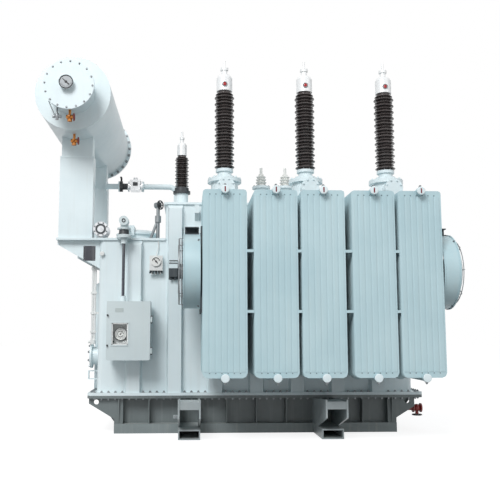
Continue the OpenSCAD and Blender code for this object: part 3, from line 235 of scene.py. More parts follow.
finish = {
    "painted_steel": coated("pale enamel", linear(226, 238, 241), linear(216, 230, 234)),
    # The base enamel's dark colour is painted shade for the shadow of the flange and the radiators over the
    # base. Its extra dust and streaks are real dirt.
    "base_paint": coated("base enamel with painted shade", linear(136, 146, 147), linear(116, 126, 127), dust_and_sheen=0.4, streaks=0.15),
    "cabinet_paint": coated("cabinet enamel", linear(206, 218, 220), linear(197, 210, 213), dust_and_sheen=0.2),
    # On the brown glaze the dust on upward faces is partly painted light: it lightens the shed tops where
    # highlights fall.
    "brown_porcelain": coated("brown glaze", linear(76, 68, 67), linear(63, 57, 57), dust_and_sheen=0.18, streaks=0.05,
                              smooth=0.1, dull=0.22, bump=0.02),
    "white_porcelain": coated("white glaze", linear(232, 233, 230), linear(224, 226, 222), smooth=0.1,
                              dull=0.2),
    "bare_metal": coated("satin aluminium", linear(226, 228, 230), linear(208, 211, 214), streaks=0.05,
                         smooth=0.22, dull=0.4, metal=0.85),
    "pale_plastic": coated("pale plastic", linear(228, 230, 229), linear(218, 221, 220), smooth=0.4,
                           dull=0.55),
    "dark_metal": coated("black enamel", linear(44, 47, 50), linear(58, 61, 64), dust_and_sheen=0.3, smooth=0.35,
                         dull=0.5),
    "brass": coated("cast brass", linear(196, 132, 70), linear(156, 98, 52), dust_and_sheen=0.1, smooth=0.25, dull=0.45,
                    metal=0.9),
    "red_paint": coated("red enamel", linear(150, 38, 34), linear(122, 32, 32), dust_and_sheen=0.2),
    "window_glass": clear_pane("window glass", linear(240, 246, 246), 0.02),
}
radiator_enamel = coated("radiator enamel", linear(184, 209, 215), linear(174, 201, 208))
# The tray and the skid beams wear painted shade. The tray's dark colour paints the shade under the flange and
# the radiators, and the beams' grey partly does. Their dust and streaks are real dirt.
beam_enamel_with_shade = coated("beam enamel with painted shade", linear(166, 175, 177), linear(146, 156, 158), dust_and_sheen=0.4, streaks=0.15)
tray_enamel_with_shade = coated("tray enamel with painted shade", linear(112, 121, 122), linear(94, 103, 104), dust_and_sheen=0.4, streaks=0.1)
# The drive shaft's dark colour is a painted reflection: the shaft is bright metal that mirrors dark
# surroundings.
shaft_steel_with_dark_reflection = coated("steel with painted dark reflection", linear(92, 94, 102), linear(74, 76, 82), dust_and_sheen=0.1, smooth=0.25, metal=0.6)
# The zinc grey is real on the bolts and small fittings. On the pale filter valve it is painted shade for the
# dark shading down its side.
zinc_and_shade = coated("zinc plate", linear(150, 155, 158), linear(120, 125, 128), dust_and_sheen=0.1, smooth=0.3, dull=0.5,
              metal=0.7)
# Blackened steel is real on the levers, rims, locks, knobs and clamps. The tall ring on the gearbox neck uses
# it partly as painted shade.
blackened_and_shade = coated("blackened steel", linear(52, 55, 58), linear(70, 74, 77), dust_and_sheen=0.15, metal=0.4)
dial_white = coated("dial enamel", linear(236, 237, 234), linear(228, 230, 227), dust_and_sheen=0.02, smooth=0.3)
ink = coated("dial ink", linear(24, 25, 27), linear(32, 33, 35), dust_and_sheen=0.02, smooth=0.4, dull=0.6)
warm_red = coated("red sight glass", linear(190, 30, 34), linear(160, 24, 30), dust_and_sheen=0.02, smooth=0.06,
                  dull=0.12)
marking_red = coated("red marking paint", linear(126, 28, 40), linear(106, 26, 36), dust_and_sheen=0.02)
# The spot welds' darker tone is painted shade, darker than the panel round them.
weld_dot_shade = coated("weld dot with painted shade", linear(124, 144, 150), linear(108, 128, 135), dust_and_sheen=0.05)
gauge_grey = coated("aged dial enamel", linear(172, 177, 180), linear(160, 166, 169), dust_and_sheen=0.02, smooth=0.3)
cast_white = coated("white cast metal", linear(242, 243, 243), linear(232, 234, 235), streaks=0.05,
                    smooth=0.3, metal=0.15)
# The slate grey is real on the glands and the junction box. On the fan mounts it is painted shade for the
# shade inside their open channels.
slate_and_shade = coated("slate grey enamel", linear(84, 90, 94), linear(70, 76, 80), dust_and_sheen=0.15, smooth=0.6, dull=0.75,
               gloss=0.2)
etched = coated("etched plate", linear(184, 195, 195), linear(172, 184, 184), dust_and_sheen=0.05, smooth=0.3)
plate_grey = coated("dark anodised plate", linear(54, 56, 62), linear(78, 80, 86), dust_and_sheen=0.05, smooth=0.25,
                    metal=0.6)

# Painted light in these finishes: the tray, the beams, the fan mounts and the filter valve are darker than
# their paint for the shade they stand in, and the drive shaft's dark colour is a painted reflection.
own_finish = {"lower_tank": tray_enamel_with_shade, "jack_brackets": beam_enamel_with_shade, "skid_beams": beam_enamel_with_shade,
              "drive_shaft": shaft_steel_with_dark_reflection, "fan_cowls": radiator_enamel, "fan_mounts": slate_and_shade,
              "fan_guards": zinc_and_shade, "filter_valve": zinc_and_shade, "junction_box": slate_and_shade,
              "neutral_turret": finish["painted_steel"], "bushing_terminals": cast_white,
              "radiator_stubs": radiator_enamel, "radiator_ties": radiator_enamel}
for name in frame["nodes"]:
    if "_radiator_" in name:
        own_finish[name] = radiator_enamel
for row in frame["record"]["subparts"]:
    solid = frame["nodes"][row["node"]]
    coat = own_finish.get(row["node"], finish[row["material_slot"]])
    if not solid.material_slots:
        solid.data.materials.append(coat)
    for place in solid.material_slots:
        place.material = coat

# %% [markdown]
# ## Shapes made by hand
# Dials, rims, knobs and plates are turned, pressed or bent from sheet. They could start from ready-made
# shapes, but those have no rounded edges and no profile. A few helpers build them as a maker does: turn a
# profile round an axis, cut a rounded plate, bend a tube.

# %% Helpers for turned, plate and tube shapes


def turned(bm, centre, axis, profile, segments=28):
    """Turns a profile of radius and distance along the axis. A radius of 0 closes an end."""
    turn = UP.rotation_difference(axis).to_matrix()
    rings = []
    for radius, along in profile:
        count = 1 if radius == 0 else segments
        ring = []
        for step in range(count):
            angle = math.tau * step / segments
            local = Vector((radius * math.cos(angle), radius * math.sin(angle), along))
            ring.append(bm.verts.new(centre + turn @ local))
        rings.append(ring)
    for low, high in zip(rings, rings[1:]):
        for step in range(segments):
            after = (step + 1) % segments
            corners = [low[step % len(low)], low[after % len(low)],
                       high[after % len(high)], high[step % len(high)]]
            bm.faces.new(list(dict.fromkeys(corners)))


def ring_of(bm, centre, axis, profile, segments=36):
    """Turns a closed profile that doesn't touch the axis, for a rim or a collar."""
    turn = UP.rotation_difference(axis).to_matrix()
    rings = []
    for step in range(segments):
        angle = math.tau * step / segments
        ring = []
        for radius, along in profile:
            local = Vector((radius * math.cos(angle), radius * math.sin(angle), along))
            ring.append(bm.verts.new(centre + turn @ local))
        rings.append(ring)
    for step, ring in enumerate(rings):
        following = rings[(step + 1) % segments]
        for point in range(len(profile)):
            after = (point + 1) % len(profile)
            bm.faces.new([ring[point], following[point], following[after], ring[after]])


def rounded_outline(width, height, corner, steps=4):
    """Points round a rectangle with rounded corners, in its own plane."""
    points = []
    for quarter, (sx, sy) in enumerate(((1, 1), (-1, 1), (-1, -1), (1, -1))):
        for step in range(steps + 1):
            angle = math.pi / 2 * (quarter + step / steps)
            points.append((sx * (width / 2 - corner) + corner * math.cos(angle),
                           sy * (height / 2 - corner) + corner * math.sin(angle)))
    return points


def plate(bm, centre, right, up, width, height, depth, corner, edge=0.001):
    """A rounded plate that stands up from centre, with a broken front edge."""
    out = right.cross(up).normalized()
    rings = []
    for inset, along in ((0, 0), (0, depth - edge), (edge, depth)):
        outline = rounded_outline(width - 2 * inset, height - 2 * inset, max(corner - inset, 0.0004))
        rings.append([bm.verts.new(centre + right * x + up * y + out * along) for x, y in outline])
    for low, high in zip(rings, rings[1:]):
        for step in range(len(low)):
            after = (step + 1) % len(low)
            bm.faces.new([low[step], low[after], high[after], high[step]])
    bm.faces.new(list(reversed(rings[0])))
    bm.faces.new(rings[-1])


def tube(bm, path, radius, sides=12):
    """A round tube along a path of points, closed at both ends."""
    side = (path[1] - path[0]).orthogonal().normalized()
    rings = []
    for step, point in enumerate(path):
        before = path[max(step - 1, 0)]
        after = path[min(step + 1, len(path) - 1)]
        ahead = (after - before).normalized()
        side = (side - ahead * side.dot(ahead)).normalized()
        across = ahead.cross(side)
        ring = []
        for turn in range(sides):
            angle = math.tau * turn / sides
            ring.append(bm.verts.new(point + radius * (side * math.cos(angle) + across * math.sin(angle))))
        rings.append(ring)
    for low, high in zip(rings, rings[1:]):
        for turn in range(sides):
            after = (turn + 1) % sides
            bm.faces.new([low[turn], low[after], high[after], high[turn]])
    bm.faces.new(list(reversed(rings[0])))
    bm.faces.new(rings[-1])


def bend(points, radius, steps=5):
    """Rounds the inner corners of a path."""
    path = [points[0]]
    for before, corner, after in zip(points, points[1:], points[2:]):
        start = corner + (before - corner).normalized() * radius
        end = corner + (after - corner).normalized() * radius
        for step in range(steps + 1):
            share = step / steps
            path.append(start.lerp(corner, share).lerp(corner.lerp(end, share), share))
    path.append(points[-1])
    return path


def piece(name, bm, material, body, smooth=35):
    """Turns a built shape into a piece that rides on a body."""
    bmesh.ops.recalc_face_normals(bm, faces=bm.faces)
    mesh = bpy.data.meshes.new(name)
    bm.to_mesh(mesh)
    bm.free()
    mesh.materials.append(material)
    mesh.shade_smooth()
    mesh.set_sharp_from_angle(angle=math.radians(smooth))
    made = bpy.data.objects.new(name, mesh)
    bpy.context.collection.objects.link(made)
    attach(made, body)
    print(name, len(mesh.polygons), "faces")
    return made


# %% [markdown]
# ## Copies on points
# The transformer has hundreds of bolts, weld dots and dial marks. Placing each by hand is slow, and a
# modifier that copies in a straight row can't follow a flange round its corners. So the points are worked
# out here, each with the way it faces and its size, and a Geometry Nodes tree sets one small shape on every
# point and makes it real.

# %% The tree that sets a shape on points


def named(tree, name, kind):
    node = tree.nodes.new("GeometryNodeInputNamedAttribute")
    node.data_type = kind
    node.inputs["Name"].default_value = name
    return node.outputs["Attribute"]


def copies_tree(name, shape):
    tree = bpy.data.node_groups.new(name, "GeometryNodeTree")
    sockets = tree.interface.new_socket
    sockets(name="Points", in_out="INPUT", socket_type="NodeSocketGeometry")
    sockets(name="Size", in_out="INPUT", socket_type="NodeSocketFloat")
    sockets(name="Finish", in_out="INPUT", socket_type="NodeSocketMaterial")
    sockets(name="Copies", in_out="OUTPUT", socket_type="NodeSocketGeometry")
    nodes = tree.nodes
    link = tree.links.new
    given = nodes.new("NodeGroupInput")
    result = nodes.new("NodeGroupOutput")
    stand = nodes.new("FunctionNodeAlignRotationToVector")
    stand.axis = "Z"
    link(named(tree, "facing", "FLOAT_VECTOR"), stand.inputs["Vector"])
    turn = nodes.new("FunctionNodeAlignRotationToVector")
    turn.axis = "X"
    turn.pivot_axis = "Z"
    link(stand.outputs["Rotation"], turn.inputs["Rotation"])
    link(named(tree, "along", "FLOAT_VECTOR"), turn.inputs["Vector"])
    size = nodes.new("ShaderNodeMath")
    size.operation = "MULTIPLY"
    link(named(tree, "size", "FLOAT"), size.inputs[0])
    link(given.outputs["Size"], size.inputs[1])
    scatter = nodes.new("GeometryNodeInstanceOnPoints")
    link(given.outputs["Points"], scatter.inputs["Points"])
    link(shape(tree), scatter.inputs["Instance"])
    link(turn.outputs["Rotation"], scatter.inputs["Rotation"])
    link(size.outputs["Value"], scatter.inputs["Scale"])
    real = nodes.new("GeometryNodeRealizeInstances")
    link(scatter.outputs["Instances"], real.inputs["Geometry"])
    coat = nodes.new("GeometryNodeSetMaterial")
    link(real.outputs["Geometry"], coat.inputs["Geometry"])
    link(given.outputs["Finish"], coat.inputs["Material"])
    link(coat.outputs["Geometry"], result.inputs["Copies"])
    return tree


def drum_part(tree, sides, radius, low, high, squeeze=(1, 1, 1)):
    """A short prism between two heights, one part of a copied shape."""
    drum = tree.nodes.new("GeometryNodeMeshCylinder")
    drum.inputs["Vertices"].default_value = sides
    drum.inputs["Radius"].default_value = radius
    drum.inputs["Depth"].default_value = high - low
    moved = tree.nodes.new("GeometryNodeTransform")
    moved.inputs["Translation"].default_value = (0, 0, (low + high) / 2)
    moved.inputs["Scale"].default_value = squeeze
    tree.links.new(drum.outputs["Mesh"], moved.inputs["Geometry"])
    return moved.outputs["Geometry"]


def joined(tree, parts):
    node = tree.nodes.new("GeometryNodeJoinGeometry")
    for part in parts:
        tree.links.new(part, node.inputs["Geometry"])
    return node.outputs["Geometry"]


def evaluated_mesh(made, material):
    """The plain mesh that an object's tree gives, with the tree taken off."""
    seen = made.evaluated_get(bpy.context.evaluated_depsgraph_get())
    mesh = bpy.data.meshes.new_from_object(seen)
    mesh.materials.clear()
    mesh.materials.append(material)
    mesh.polygons.foreach_set("material_index", [0] * len(mesh.polygons))
    made.modifiers.clear()
    made.data = mesh
    return mesh


def set_tree(made, tree, values):
    added = made.modifiers.new(tree.name, "NODES")
    added.node_group = tree
    for item in tree.interface.items_tree:
        if item.in_out == "INPUT" and item.name in values:
            added[item.identifier] = values[item.name]


def copies(name, tree, points, material, body):
    """Sets the tree's shape on points of place, facing, along and size."""
    mesh = bpy.data.meshes.new(name)
    mesh.from_pydata([tuple(place) for place, facing, along, scale in points], [], [])
    for label, kind in (("facing", "FLOAT_VECTOR"), ("along", "FLOAT_VECTOR"), ("size", "FLOAT")):
        mesh.attributes.new(label, kind, "POINT")
    for number, point in enumerate(points):
        mesh.attributes["facing"].data[number].vector = point[1]
        mesh.attributes["along"].data[number].vector = point[2]
        mesh.attributes["size"].data[number].value = point[3]
    made = bpy.data.objects.new(name, mesh)
    bpy.context.collection.objects.link(made)
    set_tree(made, tree, {"Size": 1.0, "Finish": material})
    mesh = evaluated_mesh(made, material)
    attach(made, body)
    print(name, len(points), "copies,", len(mesh.polygons), "faces")
    return made


# %% [markdown]
# ## Bolts
# The tank is closed by two bolted flanges all round, and every cover, turret and valve has its own ring of
# bolts. A bolt is a washer, a six-sided head and the end of the stud. Its size is the width across the
# flats, so one shape of unit width serves them all.

# %% Bolt shape and its patterns


def bolt_shape(tree):
    washer = drum_part(tree, 12, 0.95, 0, 0.14)
    head = drum_part(tree, 6, 0.577, 0.13, 0.78)
    stud = drum_part(tree, 8, 0.32, 0.77, 1.0)
    return joined(tree, (washer, head, stud))


BOLT = copies_tree("bolt with washer", bolt_shape)


def bolt_row(start, end, pitch, facing, width):
    """Bolts from start to end, evenly spaced at about the pitch."""
    count = max(1, round((end - start).length / pitch))
    along = (end - start).normalized()
    return [(start.lerp(end, step / count), facing, along, width) for step in range(count + 1)]


def bolt_ring(centre, axis, radius, count, width, first=0.0):
    """Bolts on a circle about an axis, facing along it."""
    turn = UP.rotation_difference(axis).to_matrix()
    points = []
    for step in range(count):
        angle = math.radians(first) + math.tau * step / count
        out = turn @ Vector((math.cos(angle), math.sin(angle), 0))
        points.append((centre + out * radius, axis, out, width))
    return points


def bolt_frame(low, high, level, inset, corner, pitch, facing, width):
    """Bolts round a level rectangle, leaving the corners' curves free."""
    x0, x1, y0, y1 = low.x + inset, high.x - inset, low.y + inset, high.y - inset
    points = []
    for y in (y0, y1):
        start = Vector((x0 + corner, y, level))
        end = Vector((x1 - corner, y, level))
        points += bolt_row(start, end, pitch, facing, width)
    for x in (x0, x1):
        start = Vector((x, y0 + corner, level))
        end = Vector((x, y1 - corner, level))
        points += bolt_row(start, end, pitch, facing, width)
    return points


# %% Bolts of the tank flanges
lower_low, lower_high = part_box("lower_tank")
flange_bolts = bolt_frame(flange_low, flange_high, flange_high.z, 0.045, 0.05, 0.09, UP, 0.024)
flange_bolts += bolt_frame(flange_low, flange_high, lower_high.z - 0.036, 0.045, 0.05, 0.09, DOWN, 0.024)
copies("flange_bolts", BOLT, flange_bolts, zinc_and_shade, "transformer")

# %% [markdown]
# The covers of the conservator, the bushings and the pipes carry smaller bolts on circles. Their centres
# are read from the solids where a node holds one solid, and from the tank's middle where it holds several.

# %% Bolts of the covers, bushings and pipes
HV_XS = (-0.400, 0.745, 1.890)
HV_Y = -0.650
LV_XS = (0.232, 0.608, 0.984)
LV_Y = 0.450
DECK_VALVE = at(-2.076, -0.945, 2.673)
cover_low, cover_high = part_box("chamber_cover")
cover_middle = (cover_low + cover_high) / 2
rear_low, rear_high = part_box("conservator_rear_cover")
rear_middle = (rear_low + rear_high) / 2
cover_bolts = bolt_ring(Vector((cover_middle.x, cover_low.y, cover_middle.z)), FRONT, 0.300, 16, 0.016, -3)
cover_bolts += bolt_ring(Vector((rear_middle.x, rear_high.y, rear_middle.z)), BACK, 0.512, 28, 0.024)
cover_bolts += bolt_ring(Vector((rear_middle.x, 1.353, rear_middle.z)), FRONT, 0.512, 28, 0.024)
for x in HV_XS:
    cover_bolts += bolt_ring(at(x, HV_Y, 3.570), UP, 0.108, 8, 0.018, 22)
for x in LV_XS:
    cover_bolts += bolt_ring(at(x, LV_Y, 3.560), UP, 0.122, 8, 0.018, 22)
copies("cover_bolts", BOLT, cover_bolts, zinc_and_shade, "transformer")
turret_bolts = []
for x in HV_XS:
    turret_bolts += bolt_ring(at(x, HV_Y, 3.426), UP, 0.213, 12, 0.026, 15)
    turret_bolts += bolt_ring(at(x, -1.050, 3.252), FRONT, 0.103, 8, 0.018, 22)
copies("turret_bolts", BOLT, turret_bolts, finish["painted_steel"], "transformer")

# %% [markdown]
# The deck valve, the side valve, the earthing lugs and the fan cowls have the smallest bolts. They sit on
# circles too, so the same ring of points serves them, turned outwards on the cowls.

# %% Bolts of the valves, earthing lugs and fans
RADIATOR_XS = (-0.474, 0.126, 0.688, 1.288, 1.850)
FAN_Y = 1.700
FAN_Z = 2.040
COWL_R = 0.455
small_bolts = bolt_ring(DECK_VALVE, FRONT, 0.085, 8, 0.012, 22)
small_bolts += bolt_ring(at(-2.209, -0.640, 0.985), LEFT, 0.142, 8, 0.026, 22)
small_bolts += bolt_ring(at(-1.080, -0.100, 3.063), UP, 0.060, 4, 0.018, 45)
for side, facing in SIDES:
    small_bolts.append((at(-1.0415, side * 1.790, 0.302), facing, UP, 0.020))
    for x in (-0.775, 2.318):
        hoop = bolt_ring(at(x, side * FAN_Y, FAN_Z), RIGHT, COWL_R, 3, 0.018, 100)
        small_bolts += [(place, out, RIGHT, width) for place, axis, out, width in hoop]
copies("small_bolts", BOLT, small_bolts, zinc_and_shade, "transformer")

# %% [markdown]
# ## Radiator ends
# Each radiator hangs on two header pipes. Their front ends are closed by turned caps, with a vent plug on
# top and a drain plug below, and a spot weld closes every seam between two flutes. The caps are turned
# shapes, and the plugs and spot welds are copied on points.

# %% Caps, plugs and spot welds of the radiators
HEADER_LOW_Z = 0.774
HEADER_HIGH_Z = 2.962
HEADER_END = 2.245
CAP_PROFILE = ((0, 0), (0.0495, 0), (0.0495, 0.005), (0.044, 0.010), (0.020, 0.012), (0, 0.012))


def dot_shape(tree):
    foot = drum_part(tree, 10, 0.5, 0, 0.12)
    crown = drum_part(tree, 10, 0.33, 0.11, 0.22)
    return joined(tree, (foot, crown))


DOT = copies_tree("spot weld", dot_shape)
FLUTE_PITCH = 0.0709
PANEL_FACE = 2.170
caps = bmesh.new()
marks = bmesh.new()
plugs = []
dots = []
for side, facing in SIDES:
    for x in RADIATOR_XS:
        for z in (HEADER_LOW_Z, HEADER_HIGH_Z):
            turned(caps, at(x, side * HEADER_END, z), facing, CAP_PROFILE, 24)
        plugs.append((at(x, side * 2.215, HEADER_LOW_Z - 0.047), DOWN, RIGHT, 0.026))
        plugs.append((at(x, side * 2.215, HEADER_HIGH_Z + 0.047), UP, RIGHT, 0.026))
        plate(marks, at(x, side * (HEADER_END + 0.011), HEADER_HIGH_Z), UP.cross(facing), UP,
              0.016, 0.062, 0.003, 0.006)
        for flute in range(6):
            for z in (0.828, 2.916):
                dots.append((at(x + (flute - 2.5) * FLUTE_PITCH, side * PANEL_FACE, z), facing, UP, 0.016))
piece("header_caps", caps, finish["painted_steel"], "transformer")
piece("header_marks", marks, marking_red, "transformer")
copies("header_plugs", BOLT, plugs, zinc_and_shade, "transformer")
# The spot welds take the darker painted-shade tone.
copies("spot_welds", DOT, dots, weld_dot_shade, "transformer")

# %% [markdown]
# Every header has a valve at the tank, turned by a flat lever on its spindle. The lever is a pressed bar
# with a boss, so it is one more shape for the tree of copies.

# %% Levers of the radiator valves


def lever_shape(tree):
    boss = drum_part(tree, 10, 0.16, 0, 0.22)
    bar = drum_part(tree, 4, 0.5, 0.07, 0.16, (1.0, 0.16, 1.0))
    return joined(tree, (boss, bar))


LEVER = copies_tree("valve lever", lever_shape)
levers = []
for side, facing in SIDES:
    for x in RADIATOR_XS:
        for z in (HEADER_LOW_Z, HEADER_HIGH_Z):
            levers.append((at(x, side * 1.179, z + 0.101), UP, RIGHT, 0.150))
copies("valve_levers", LEVER, levers, blackened_and_shade, "transformer")

# %% [markdown]
# ## Weld beads
# The folded stiffeners are welded to the tank wall along both edges. A bead is a thin uneven rope of metal.
# The edges go in as plain lines, and a Geometry Nodes tree turns them into curves, gives the bead its
# ripple and its round section.

# %% Weld beads along the stiffeners


def bead_tree():
    tree = bpy.data.node_groups.new("weld bead", "GeometryNodeTree")
    sockets = tree.interface.new_socket
    sockets(name="Edges", in_out="INPUT", socket_type="NodeSocketGeometry")
    sockets(name="Radius", in_out="INPUT", socket_type="NodeSocketFloat")
    sockets(name="Spacing", in_out="INPUT", socket_type="NodeSocketFloat")
    sockets(name="Finish", in_out="INPUT", socket_type="NodeSocketMaterial")
    sockets(name="Beads", in_out="OUTPUT", socket_type="NodeSocketGeometry")
    nodes = tree.nodes
    link = tree.links.new
    given = nodes.new("NodeGroupInput")
    result = nodes.new("NodeGroupOutput")
    curve = nodes.new("GeometryNodeMeshToCurve")
    link(given.outputs["Edges"], curve.inputs["Mesh"])
    steps = nodes.new("GeometryNodeResampleCurve")
    steps.mode = "LENGTH"
    link(curve.outputs["Curve"], steps.inputs["Curve"])
    link(given.outputs["Spacing"], steps.inputs["Length"])
    ripple = nodes.new("FunctionNodeRandomValue")
    ripple.inputs[2].default_value = 0.8
    ripple.inputs[3].default_value = 1.2
    ripple.inputs["Seed"].default_value = 4
    thick = nodes.new("GeometryNodeSetCurveRadius")
    link(steps.outputs["Curve"], thick.inputs["Curve"])
    link(ripple.outputs[1], thick.inputs["Radius"])
    section = nodes.new("GeometryNodeCurvePrimitiveCircle")
    section.inputs["Resolution"].default_value = 8
    link(given.outputs["Radius"], section.inputs["Radius"])
    rope = nodes.new("GeometryNodeCurveToMesh")
    rope.inputs["Fill Caps"].default_value = True
    link(thick.outputs["Curve"], rope.inputs["Curve"])
    link(section.outputs["Curve"], rope.inputs["Profile Curve"])
    real = nodes.new("GeometryNodeRealizeInstances")
    link(rope.outputs["Mesh"], real.inputs["Geometry"])
    coat = nodes.new("GeometryNodeSetMaterial")
    link(real.outputs["Geometry"], coat.inputs["Geometry"])
    link(given.outputs["Finish"], coat.inputs["Material"])
    link(coat.outputs["Geometry"], result.inputs["Beads"])
    return tree


STIFFENERS = ((-1.611, 2.44), (-1.074, 2.93), (-0.537, 2.76), (0.0, 2.76),
              (0.537, 2.76), (1.074, 2.76), (1.611, 2.76))
ends = []
for side, facing in SIDES:
    for x, top in STIFFENERS:
        for edge in (-0.105, 0.105):
            ends += [at(x + edge, side * 0.926, 0.53), at(x + edge, side * 0.926, top)]
bead_mesh = bpy.data.meshes.new("weld_beads")
bead_mesh.from_pydata([tuple(end) for end in ends], [(n, n + 1) for n in range(0, len(ends), 2)], [])
beads = bpy.data.objects.new("weld_beads", bead_mesh)
bpy.context.collection.objects.link(beads)
set_tree(beads, bead_tree(), {"Radius": 0.006, "Spacing": 0.045, "Finish": finish["painted_steel"]})
bead_faces = evaluated_mesh(beads, finish["painted_steel"])
bead_faces.shade_smooth()
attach(beads, "transformer")
print("weld_beads", len(bead_faces.polygons), "faces")

# %% [markdown]
# ## Dials
# Three instruments face the front: the oil gauge on the conservator's end, the thermometer on the tank wall
# and the position dial behind the cabinet window. Each is an enamelled face in a rim, with ink marks and a
# needle. The gauge has aged to grey, and the thermometer's face lies bare in its case. The faces, rims and
# needles are built by hand, and the marks round them are copied on points.

# %% Faces, rims and needles of the dials
GAUGE = at(-2.435, -1.799, 4.396)
THERMOMETER = at(-1.328, -1.035, 2.230)
POSITION = at(-1.761, -1.229, 1.276)


def dial_face(bm, centre, radius):
    turned(bm, centre, FRONT, ((0, 0), (radius, 0), (radius, 0.002), (radius - 0.002, 0.004), (0, 0.004)), 40)


def dial_rim(bm, centre, radius, width):
    inner = radius - width
    ring_of(bm, centre, FRONT, ((inner, 0), (radius, 0), (radius, 0.006), (radius - 0.3 * width, 0.012),
                                (inner + 0.2 * width, 0.012), (inner, 0.007)), 40)


def dial_needle(bm, centre, angle, length, tail, width):
    """A flat bar that narrows to its tip, on a small hub."""
    ahead = RIGHT * math.cos(math.radians(angle)) + UP * math.sin(math.radians(angle))
    across = FRONT.cross(ahead)
    tip = across * 0.4 * width
    heel = across * 0.8 * width
    outline = (ahead * length - tip, ahead * length + tip, ahead * -tail + heel, ahead * -tail - heel)
    low = [bm.verts.new(centre + FRONT * 0.006 + point) for point in outline]
    high = [bm.verts.new(centre + FRONT * 0.008 + point) for point in outline]
    for step in range(4):
        after = (step + 1) % 4
        bm.faces.new([low[step], low[after], high[after], high[step]])
    bm.faces.new(list(reversed(low)))
    bm.faces.new(high)
    hub = 1.6 * width
    hub_profile = ((0, 0), (hub, 0), (hub, 0.005), (0.7 * hub, 0.007), (0, 0.007))
    turned(bm, centre + FRONT * 0.004, FRONT, hub_profile, 16)


def dial_band(bm, centre, inner, outer, start, end, steps=24):
    """A raised arc on a dial, between two angles."""
    rings = []
    for step in range(steps + 1):
        angle = math.radians(start + (end - start) * step / steps)
        out = RIGHT * math.cos(angle) + UP * math.sin(angle)
        rings.append([bm.verts.new(centre + out * radius + FRONT * lift)
                      for radius, lift in ((inner, 0.003), (outer, 0.003), (outer, 0.0055), (inner, 0.0055))])
    for first, second in zip(rings, rings[1:]):
        for point in range(4):
            after = (point + 1) % 4
            bm.faces.new([first[point], second[point], second[after], first[after]])
    bm.faces.new(rings[0])
    bm.faces.new(list(reversed(rings[-1])))


faces = bmesh.new()
rims = bmesh.new()
needles = bmesh.new()
gauge_face = bmesh.new()
dial_face(gauge_face, GAUGE, 0.082)
for centre, radius in ((THERMOMETER, 0.065), (POSITION, 0.078)):
    dial_face(faces, centre, radius)
dial_rim(rims, GAUGE, 0.090, 0.014)
dial_rim(rims, POSITION, 0.082, 0.006)
dial_needle(needles, GAUGE, 137, 0.058, 0.054, 0.010)
dial_needle(needles, THERMOMETER, 130, 0.044, 0.036, 0.008)
dial_needle(needles, POSITION, 60, 0.030, 0.012, 0.005)
dial_band(needles, THERMOMETER, 0.043, 0.053, 8, 172)
dial_band(needles, POSITION, 0.034, 0.040, 0, 350)
piece("gauge_face", gauge_face, gauge_grey, "transformer")
piece("dial_faces", faces, dial_white, "transformer")
piece("dial_rims", rims, blackened_and_shade, "transformer")
piece("dial_needles", needles, ink, "transformer")

# %% [markdown]
# The marks are short ink bars that point at the middle of their dial, every other one shorter. They could
# be printed on the face, but a raised bar stays sharp from close by.

# %% Marks round the dials


def mark_shape(tree):
    bar = tree.nodes.new("GeometryNodeMeshCube")
    bar.inputs["Size"].default_value = (1.0, 0.22, 0.12)
    return bar.outputs["Mesh"]


MARK = copies_tree("dial mark", mark_shape)


def dial_marks(centre, radius, start, end, count, length):
    points = []
    for step in range(count):
        angle = math.radians(start + (end - start) * step / (count - 1))
        out = RIGHT * math.cos(angle) + UP * math.sin(angle)
        size = length if step % 2 == 0 else 0.6 * length
        points.append((centre + out * radius + FRONT * 0.0045, FRONT, out, size))
    return points


ticks = dial_marks(GAUGE, 0.062, 200, 340, 15, 0.014)
ticks += dial_marks(THERMOMETER, 0.034, 8, 172, 13, 0.008)
ticks += dial_marks(POSITION, 0.058, 0, 345, 24, 0.012)
copies("dial_marks", MARK, ticks, ink, "transformer")

# %% [markdown]
# ## Drive cabinet
# The door carries a bare name plate, a pale frame round its window and two turned locks. They swing with
# the door, so they ride on its body. The hinge caps and the crank knob inside stay on the fixed side.

# %% Fittings of the door
DOOR_FACE = -1.321
seal = bmesh.new()
for x, z, width, height in ((-1.761, 1.145, 0.206, 0.014), (-1.761, 1.407, 0.206, 0.014),
                            (-1.857, 1.276, 0.014, 0.276), (-1.665, 1.276, 0.014, 0.276)):
    plate(seal, at(x, DOOR_FACE + 0.006, z), RIGHT, UP, width, height, 0.007, 0.003)
piece("window_seal", seal, finish["pale_plastic"], "door")
plates = bmesh.new()
plate(plates, at(-1.771, DOOR_FACE, 1.576), RIGHT, UP, 0.106, 0.053, 0.002, 0.006)
piece("door_plate", plates, etched, "door")
LOCK_X = -1.917
LOCK_PROFILE = ((0, 0), (0.013, 0), (0.013, 0.006), (0.009, 0.009), (0.009, 0.020),
                (0.007, 0.024), (0, 0.024))
locks = bmesh.new()
for z in (1.132, 1.512):
    turned(locks, at(LOCK_X, DOOR_FACE, z), FRONT, LOCK_PROFILE, 20)
    plate(locks, at(LOCK_X, DOOR_FACE - 0.022, z), RIGHT, UP, 0.007, 0.024, 0.008, 0.003)
piece("door_locks", locks, blackened_and_shade, "door")
rivets = []
for x in (-1.816, -1.726):
    rivets.append((at(x, DOOR_FACE - 0.002, 1.576), FRONT, UP, 0.007))
copies("door_rivets", DOT, rivets, zinc_and_shade, "door")

